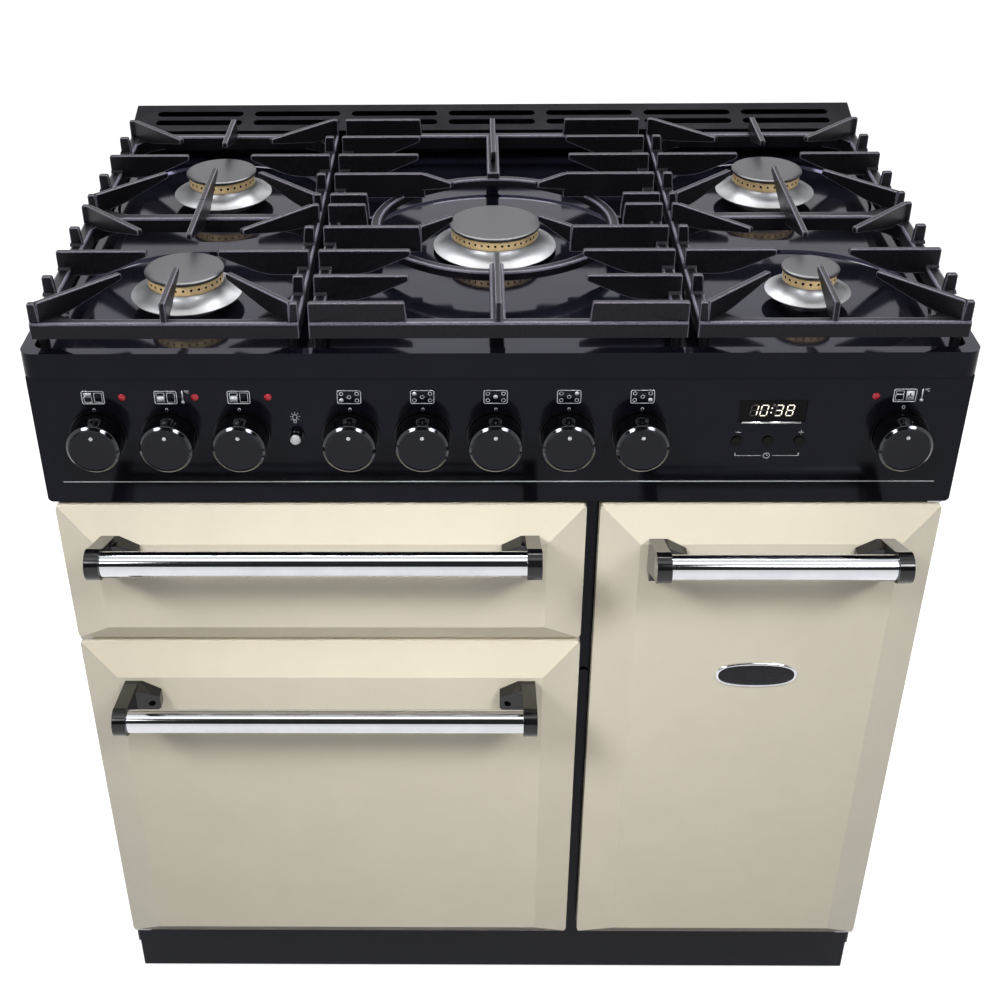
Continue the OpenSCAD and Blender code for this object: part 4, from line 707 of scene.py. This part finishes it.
bodies, rings, drilled, caps = [], [], [], []
for x, y, r, skirt, z, ports in BURNERS.values():
    top = z + FLARE_H
    flare = np.linspace(0, 1, 9)[1:-1]
    curve = np.stack([skirt - (skirt - r - 0.6) * (1 - (1 - flare) ** 1.5),
                      z + 1.2 + (FLARE_H - 1.2) * flare ** 1.5], -1)
    line = np.concatenate([
        [[0, CUP_Z], [CUP_R, CUP_Z], [CUP_R, WELL_Z], [r - 1, WELL_Z], [r - 1, z], [skirt - 0.6, z],
         [skirt, z + 0.5], [skirt - 0.2, z + 1.1]], curve, [[r + 0.5, top], [0, top]]])
    bodies.append(turned(line, (x, y, 0), columns=96))
    ring, inside = flame_ring(x, y, r, top, ports)
    rings.append(ring)
    drilled.append(inside)
    low = top + RING_H
    c = r + 2.5
    cap = rounded([[0, low], [c - 0.6, low], [c, low + 0.9], [c, low + CAP_T * 0.62],
                   [c - 2.2, low + CAP_T * 0.84], [c * 0.6, low + CAP_T * 0.96], [0, low + CAP_T]],
                  (0.3, 0.5, 0.9, 1.2, 8))
    caps.append(turned(cap, (x, y, 0), columns=96))
surface("burner_body_castings", bodies, "cooker", alloy, stands_for=["burner_bodies"])
# Faces in the ports take the near-black of soot and painted shade.
surface("flame_rings", rings, "cooker", brass, stands_for=["burner_rings"], flags=drilled, second=port_soot_and_shade,
        smooth=40)
surface("enamelled_caps", caps, "cooker", cap_enamel, stands_for=["burner_caps"])
print("burners", len(BURNERS), "with", sum(b[5] for b in BURNERS.values()), "flame ports")

# %% [markdown]
# A knob is moulded with a bright narrow rim round a slightly sunk face. It is one turned line along y.
# Its silver dot is a small dome on the face, so it turns with the knob and shows where it points.

# %% Knobs
KNOB_Z = RIM_Z - 90
OVEN_KNOBS = {"grill_knob": -388.5, "left_heat_knob": -318.3, "left_mode_knob": -248.1,
              "right_heat_knob": 388.5}
BURNER_KNOBS = {"front_left_knob": -142.4, "back_left_knob": -72.2, "middle_knob": -2,
                "back_right_knob": 68.2, "front_right_knob": 138.4}
knob_line = rounded([[0, 4.5], [25.4, 4.5], [26.0, 5.2], [25.9, 10], [25.7, 28.2], [23.6, 30.0],
                     [22.6, 30.95], [21.5, 30.2], [0, 29.9]], (0.5, 0.6, 2, 0.7, 1.2, 0.7, 0.5), 5)
knob_edge = finish("phenolic_polished_edge", "#060608", "#09090c", 20, (0.07, 0.1),
                   Specular_IOR_Level=0.75, Specular_Tint=(0.85, 0.87, 1.0, 1.0))
polished = (knob_line[:, :1] > 23.2) & (knob_line[:, 1:] > 20)
silver_ink = finish("silver_print", "#b4b7bd", "#c3c5ca", 4, (0.35, 0.45), Metallic=0.3)
for name, x in {**OVEN_KNOBS, **BURNER_KNOBS}.items():
    grids = [turned(knob_line, (x, 0, KNOB_Z), "viewer", 96)]
    flags = [np.broadcast_to(polished, grids[0].shape[:2])]
    if name in OVEN_KNOBS:
        grids.append(turned([[0, 4.6], [3, 4.6], [3, -25.2], [0, -25.2]], (x, 0, KNOB_Z), "viewer", 24))
        flags.append(np.zeros(grids[1].shape[:2], bool))
    surface("turned_" + name, grids, name, knob_black, stands_for=[name], flags=flags, second=knob_edge)
    dot = [[0, 29.7], [2.1, 29.8], [1.9, 30.2], [1.0, 30.4], [0, 30.45]]
    surface("dot_on_" + name, [turned(dot, (x, 0, KNOB_Z + 12.7), "viewer", 24)], name, silver_ink)
print("knobs", len(OVEN_KNOBS) + len(BURNER_KNOBS))

# %% [markdown]
# The red lamps are moulded domes with a pebbled inside; the light button is a chromed dome in a collar.

# %% Lamps and light button
lenses = []
for x in (-360.5, -290.3, -220.1, 360.5):
    lenses.append(turned(rounded([[0, -15], [5.25, -15], [5.25, -3], [3.75, -3], [3.75, 0.3], [0, 1.2]],
                                 (0.3, 0.3, 0.3, 0.9)), (x, 0, RIM_Z - 48.7), "viewer", 32))
surface("lamp_lenses", lenses, "cooker", red_lens, stands_for=["indicator_lamps"])
button_line = rounded([[0, -14], [5.5, -14], [5.5, 2], [4.3, 3], [4.3, 7.2], [5.5, 8.4], [5.5, 10.4],
                       [4.6, 11.3], [0, 11.6]], (0.5, 0.6, 0.6, 0.8, 0.8, 0.8, 1.0))
button = turned(button_line, (-195.5, 0, KNOB_Z), "viewer", 48)
collar = np.broadcast_to(button_line[:, 1:] < 7.8, button.shape[:2])
surface("light_button_dome", [button], "light_button", zinc, stands_for=["light_button"], flags=[collar],
        second=knob_black)
print("lenses", len(lenses))

# %% [markdown]
# The marks on the panel are printed in silver ink. A mark is a line with a width: each of its points moves
# half the width to either side, along the mean of the normals of the line's two neighbouring lengths.

# %% Lines with a width


def pen(points, width, closed=False):
    """A flat ribbon along a line: points plus and minus half the width times the unit normal, longer at
    corners."""
    p = np.asarray(points, float)
    ahead = np.roll(p, -1, 0) - p
    behind = p - np.roll(p, 1, 0)
    if not closed:
        ahead[-1], behind[0] = behind[-1], ahead[0]
    ahead /= np.linalg.norm(ahead, axis=1, keepdims=True)
    behind /= np.linalg.norm(behind, axis=1, keepdims=True)
    tangent = ahead + behind
    tangent /= np.linalg.norm(tangent, axis=1, keepdims=True)
    side = np.stack([-tangent[:, 1], tangent[:, 0]], 1) * width / 2
    side /= np.maximum((ahead * tangent).sum(1, keepdims=True), 0.5)
    grid = np.stack([p - side, p + side], 1)
    return np.concatenate([grid, grid[:1]]) if closed else grid


def oval(x, z, rx, rz, start=0, end=360, count=25):
    """Points of an ellipse between two angles."""
    a = np.radians(np.linspace(start, end, count))
    return np.stack([x + rx * np.cos(a), z + rz * np.sin(a)], 1)


def ring(x, z, rx, rz, width):
    """A closed oval line."""
    return pen(oval(x, z, rx, rz)[:-1], width, True)


def disc(x, z, r):
    """A filled circle as rows from its lowest to its highest point, each from its left to its right side."""
    a = np.linspace(-np.pi / 2, np.pi / 2, 13)
    return np.stack([np.stack([x - r * np.cos(a), z + r * np.sin(a)], 1),
                     np.stack([x + r * np.cos(a), z + r * np.sin(a)], 1)], 1)


def panel_line(x0, x1, z0, z1, r):
    """The outline of a rectangle with round corners, as points."""
    corners = [(x1 - r, z1 - r, 0), (x0 + r, z1 - r, 90), (x0 + r, z0 + r, 180), (x1 - r, z0 + r, 270)]
    return np.concatenate([oval(x, z, r, r, a, a + 90, 5) for x, z, a in corners])


def filled(x0, x1, z0, z1):
    """A filled rectangle as two rows of two points."""
    return np.array([[[x0, z0], [x1, z0]], [[x0, z1], [x1, z1]]], float)


def moved(grids, x, z):
    """The same marks at another place on the panel."""
    return [grid + np.array([x, z]) for grid in grids]


print("corners of a line 10 mm long and 1 mm wide:", pen([[0, 0], [10, 0]], 1.0).tolist())

# %% [markdown]
# A small picture over each knob tells what it serves: an oven of the cooker or a burner of the hob. Each
# picture is drawn round its own middle and then moved over its knob.

# %% Marks and their places


def oven_mark(lit):
    """A cooker seen from the front: two small ovens on the left and a tall one on the right, one of them
    filled."""
    cells = {"upper": (-8.7, -1.2, 1.5, 4.9), "lower": (-8.7, -1.2, -5.0, 0.8), "tall": (1.2, 8.7, -5.0, 4.9)}
    marks = [pen(panel_line(-10.6, 10.6, -6.75, 6.75, 1.6), 0.8, True)]
    for name, cell in cells.items():
        marks.append(filled(*cell) if name == lit else pen(panel_line(*cell, 0.6), 0.55, True))
    return marks


def burner_mark(lit):
    """The hob from above: five circles in a rounded frame, one of them filled."""
    places = [(-7.5, -3.6), (-7.5, 3.6), (0, 0), (7.5, 3.6), (7.5, -3.6)]
    marks = [pen(panel_line(-11.2, 11.2, -7.0, 7.0, 1.7), 0.7, True)]
    for i, (x, z) in enumerate(places):
        marks.append(disc(x, z, 2.2) if i == lit else ring(x, z, 1.8, 1.7, 0.55))
    return marks


thermometer = [pen([[0, -3.5], [0, 7.2]], 1.3), disc(0, -5.2, 1.7), ring(3.0, 6.6, 0.75, 0.75, 0.5),
               pen(oval(5.6, 5.9, 1.3, 1.4, 50, 310, 13), 0.6)]
bulb = [ring(0, 0.5, 2.1, 2.9, 0.55), pen([[-1.3, -2.4], [-1.1, -5.6], [1.1, -5.6], [1.3, -2.4]], 0.5)]
for angle in np.radians(range(-30, 211, 40)):
    ray = np.array([math.cos(angle), math.sin(angle)])
    bulb.append(pen([[0, 0.5] + ray * [3.1, 4.0], [0, 0.5] + ray * [5.0, 6.0]], 0.45))
zero = [ring(0, 0, 1.2, 1.9, 0.6)]
ICON_Z = RIM_Z - 48.7
ZERO_Z = RIM_Z - 62.5
marks = [pen([[-431.5, RIM_Z - 144], [431.5, RIM_Z - 144]], 1.1)]
marks += moved(oven_mark("upper"), -388.5, ICON_Z)
marks += moved(oven_mark("lower"), -318.5, ICON_Z)
marks += moved(thermometer, -302.2, ICON_Z)
marks += moved(oven_mark("lower"), -248.3, ICON_Z)
marks += moved(oven_mark("tall"), 387.7, ICON_Z + 0.9)
marks += moved(thermometer, 403.9, ICON_Z + 0.9)
for i, x in enumerate(BURNER_KNOBS.values()):
    marks += moved(burner_mark(i), x, ICON_Z)
    marks += moved(zero, x + 0.4, ZERO_Z)
for x in (-389.2, -319.0, -248.7):
    marks += moved(zero, x, ZERO_Z)
marks += moved(zero, 388.3, ZERO_Z + 2)
marks += moved(bulb, -195.7, RIM_Z - 71.2)
marks += moved([pen([[-2.6, 0], [2.6, 0]], 0.6)], 233.3, RIM_Z - 88.0)
marks += moved([pen([[-2.7, 0], [2.7, 0]], 0.55), pen([[0, -2.7], [0, 2.7]], 0.55)], 294.0, RIM_Z - 88.0)
marks += moved([pen([[-30.8, 3], [-30.8, 0], [-5.5, 0]], 0.55), pen([[5.5, 0], [30.8, 0], [30.8, 3]], 0.55),
                ring(0, 0, 3.1, 2.9, 0.55), pen([[0, 1.9], [0, 0], [1.4, 0]], 0.45)], 263.3, RIM_Z - 114.4)
print("marks on the panel", len(marks))

# %% [markdown]
# Ink is a film. The marks are one thin sheet, 0.05 mm thick, whose middle lies 0.06 mm before the panel, so
# that film and panel share no face. A second film in the panel's black draws the fan on the filled oven.

# %% Ink on the panel


def lay(flat, depth):
    """A flat grid of (x, z) stood up on the panel, depth mm in front of its face."""
    return np.stack([flat[..., 0], np.full(flat.shape[:2], -depth), flat[..., 1]], -1)


def printed(name, flats, depth, material, wall=0.05):
    """Flat marks as one thin sheet, with its wall half before and half behind the given depth."""
    made = surface(name, [lay(flat, depth) for flat in flats], "cooker", material, wrap=False)
    skin = made.modifiers.new("ink", "SOLIDIFY")
    skin.thickness = wall / 1000
    skin.offset = 0


printed("panel_marks", marks, 0.06, silver_ink)
blades = [pen([[0, 0], [2.6 * math.cos(a), 2.6 * math.sin(a)]], 1.0) for a in (1.57, 3.67, 5.76)]
printed("fan_mark", moved(blades, 387.7 + 5, ICON_Z + 0.9), 0.14, panel_enamel)
print("blades of the fan mark", len(blades))

# %% [markdown]
# The clock shows the time in slanted bars behind smoked glass: seven bars make a figure, and those in use
# glow a warm white. The plain time in the photograph is kept. A bright strip closes the window below.

# %% Clock
glow = finish("lit_display_bars", "#f4ead8", "#fbf3e4", 5, (0.4, 0.5), Emission_Strength=0.85)
glow.node_tree.nodes["Principled BSDF"].inputs["Emission Color"].default_value = linear("#f6ecd9")
unlit = finish("unlit_display_bars", "#3a3431", "#433c38", 5, (0.4, 0.5))
BARS = {"a": [(-1, 1), (1, 1)], "b": [(1, 1), (1, 0)], "c": [(1, 0), (1, -1)], "d": [(-1, -1), (1, -1)],
        "e": [(-1, 0), (-1, -1)], "f": [(-1, 1), (-1, 0)], "g": [(-1, 0), (1, 0)]}


def figure(bars, x):
    """Bars of one figure: ends pulled in by 0.6 mm, then slanted by moving each point sideways by 0.16 of
    its height."""
    made = []
    for bar in bars:
        ends = np.array(BARS[bar], float) * [3.15, 5.7]
        along = (ends[1] - ends[0]) / np.linalg.norm(ends[1] - ends[0])
        ends = ends + np.array([along, -along]) * 0.6
        flat = pen(ends, 1.0)
        flat[..., 0] += flat[..., 1] * 0.16
        made.append(flat + [x, 0])
    return made


time_bars = figure("bc", -17.6) + figure("abcdef", -8.0) + figure("abcdg", 6.2) + figure("abcdefg", 16.8)
time_bars += [disc(-0.6, 2.4, 0.8), disc(-1.2, -2.4, 0.8)]
ghost_bars = figure("adefg", -17.6) + figure("g", -8.0) + figure("ef", 6.2) + [disc(1.2, 5.4, 1.6)]
CLOCK = (264, RIM_Z - 64.5)
printed("time_bars", moved(time_bars, *CLOCK), -0.9, glow)
printed("unlit_bars", moved(ghost_bars, *CLOCK), -0.92, unlit)
strip = np.array([[-28.5, -12.9], [28.5, -12.9]]) + CLOCK
printed("clock_strip", [pen(strip, 1.9)], 0.2, wire_chrome, wall=0.4)
print("bars lit", len(time_bars))

# %% [markdown]
# The plate on the right door is a plain oval with a bright rim; it carries nothing. It is a superellipse
# of rings: each ring is the outline scaled, and each has its own height over the door.

# %% Oval plate
plate_dark = finish("lacquered_plate_dark", "#131318", "#1a1a20", 10, (0.2, 0.3), 4, 0.006,
                    Specular_IOR_Level=0.2)
DOOR_FACE_Y = -21


def oval_plate(x, z, half_w, half_h, rings):
    """Rings of a superellipse: cosine and sine to the power 0.8, times the half sizes less the ring's inset,
    times the ring's share."""
    a = np.linspace(0, 2 * np.pi, 96, endpoint=False)
    u, v = np.sign(np.cos(a)) * abs(np.cos(a)) ** 0.8, np.sign(np.sin(a)) * abs(np.sin(a)) ** 0.8
    return np.stack([np.stack([x + u * (half_w - inset) * share, np.full(96, DOOR_FACE_Y - height),
                               z + v * (half_h - inset) * share], 1) for inset, share, height in rings])


PLATE = (277.3, RIM_Z - 373.3, 43, 16.2)
rim = oval_plate(*PLATE, [(0, 1, 0.05), (0, 1, 1.2), (0.6, 1, 1.9), (1.6, 1, 2.2), (2.7, 1, 1.7),
                          (2.8, 1, 0.05), (0, 1, 0.05)])
plate = oval_plate(*PLATE, [(2.7, 0, 0.1), (2.7, 1, 0.1), (2.7, 1, 1.2), (3.2, 1, 1.4), (3.2, 0.6, 1.55),
                            (3.2, 0.3, 1.62), (3.2, 0, 1.65)])
surface("oval_plate_rim", [rim], "right_door", chrome)
surface("oval_plate_face", [plate], "right_door", plate_dark)
print("plate 86 by 32 mm")

# %% [markdown]
# The studio is a pale floor under a white world. The camera and mirrors see both as white, and both are
# dimmer for the rays that only carry light, which keeps the shadows.

# %% Floor and world


def flat_piece(name, corners, material):
    """A four-cornered sheet of the studio."""
    mesh = bpy.data.meshes.new(name)
    mesh.from_pydata(corners, [], [(0, 1, 2, 3)])
    mesh.materials.append(material)
    made = bpy.data.objects.new(name, mesh)
    bpy.context.scene.collection.objects.link(made)
    return made


def by_ray(tree, lit, seen):
    """The value seen for rays from the camera and for mirrored and refracted ones, and lit for all others."""
    path = add(tree, "ShaderNodeLightPath")
    found = path.outputs["Is Camera Ray"]
    for kind in ("Is Glossy Ray", "Is Transmission Ray"):
        larger = add(tree, "ShaderNodeMath", {"operation": "MAXIMUM"})
        tree.links.new(found, larger.inputs[0])
        tree.links.new(path.outputs[kind], larger.inputs[1])
        found = larger.outputs[0]
    chosen = add(tree, "ShaderNodeMapRange", {"To Min": lit, "To Max": seen}, {"Value": found})
    return chosen.outputs["Result"]


REACH = 6.0
sweep = finish("matt_pale_sweep", "#a4a4a4", "#a8a8a8", 400, (0.7, 0.8))
sweep_shader = sweep.node_tree.nodes["Principled BSDF"]
sweep_shader.inputs["Emission Color"].default_value = (1, 1, 1, 1)
sweep.node_tree.links.new(by_ray(sweep.node_tree, 0.0, 0.86), sweep_shader.inputs["Emission Strength"])
floor = flat_piece("floor", [(-REACH, -REACH, 0), (REACH, -REACH, 0), (REACH, REACH, 0), (-REACH, REACH, 0)],
                   sweep)

world = bpy.data.worlds.new("studio")
bpy.context.scene.world = world
world.use_nodes = True
sky = world.node_tree.nodes["Background"]
sky.inputs["Color"].default_value = (1, 1, 1, 1)
world.node_tree.links.new(by_ray(world.node_tree, 0.24, 1.0), sky.inputs["Strength"])
print("floor of", 2 * REACH, "m under a white world")

# %% [markdown]
# Of the four soft lamps, the two in front have grids, so their light falls off from the top of the fronts to
# the floor, and they hang high, so each handle's shadow lies below it. The one above the front draws the
# bright bands on the bars. A dark card behind the camera gives polished metal the dark line that tells it
# from white paint.

# %% Lamps and card


def lamp(name, place, target, size, watts, spread=180):
    """A soft lamp of size m at place, turned to its target; a grid on it narrows its light to spread
    degrees."""
    data = bpy.data.lights.new(name, "AREA")
    data.shape = "RECTANGLE"
    data.size, data.size_y = size
    data.energy = watts
    data.spread = math.radians(spread)
    made = bpy.data.objects.new(name, data)
    bpy.context.scene.collection.objects.link(made)
    made.location = place
    made.visible_camera = False
    made.rotation_mode = "QUATERNION"
    made.rotation_quaternion = (Vector(target) - Vector(place)).to_track_quat("-Z", "Y")


lamp("overhead", (0.0, 1.1, 2.9), (0, 0.1, 0.9), (2.0, 1.2), 95)
lamp("above_front", (0.0, -0.78, 2.15), (0, -0.35, 0.6), (2.4, 0.5), 3.8)
lamp("left_front", (-1.3, -1.8, 2.5), (0, -0.27, 0.68), (1.4, 0.5), 2.9, 34)
lamp("right_front", (1.1, -1.8, 2.5), (0, -0.27, 0.68), (1.4, 0.5), 2.45, 34)

card = flat_piece("dark_card", [(-4, -3.2, 1.3), (-4, -3.2, 6), (4, -3.2, 6), (4, -3.2, 1.3)],
                  finish("black_cloth_flag", "#050505", "#080808", 8, (0.8, 0.9)))
card.visible_camera = card.visible_diffuse = card.visible_shadow = False
bpy.context.scene.view_settings.view_transform = "Standard"
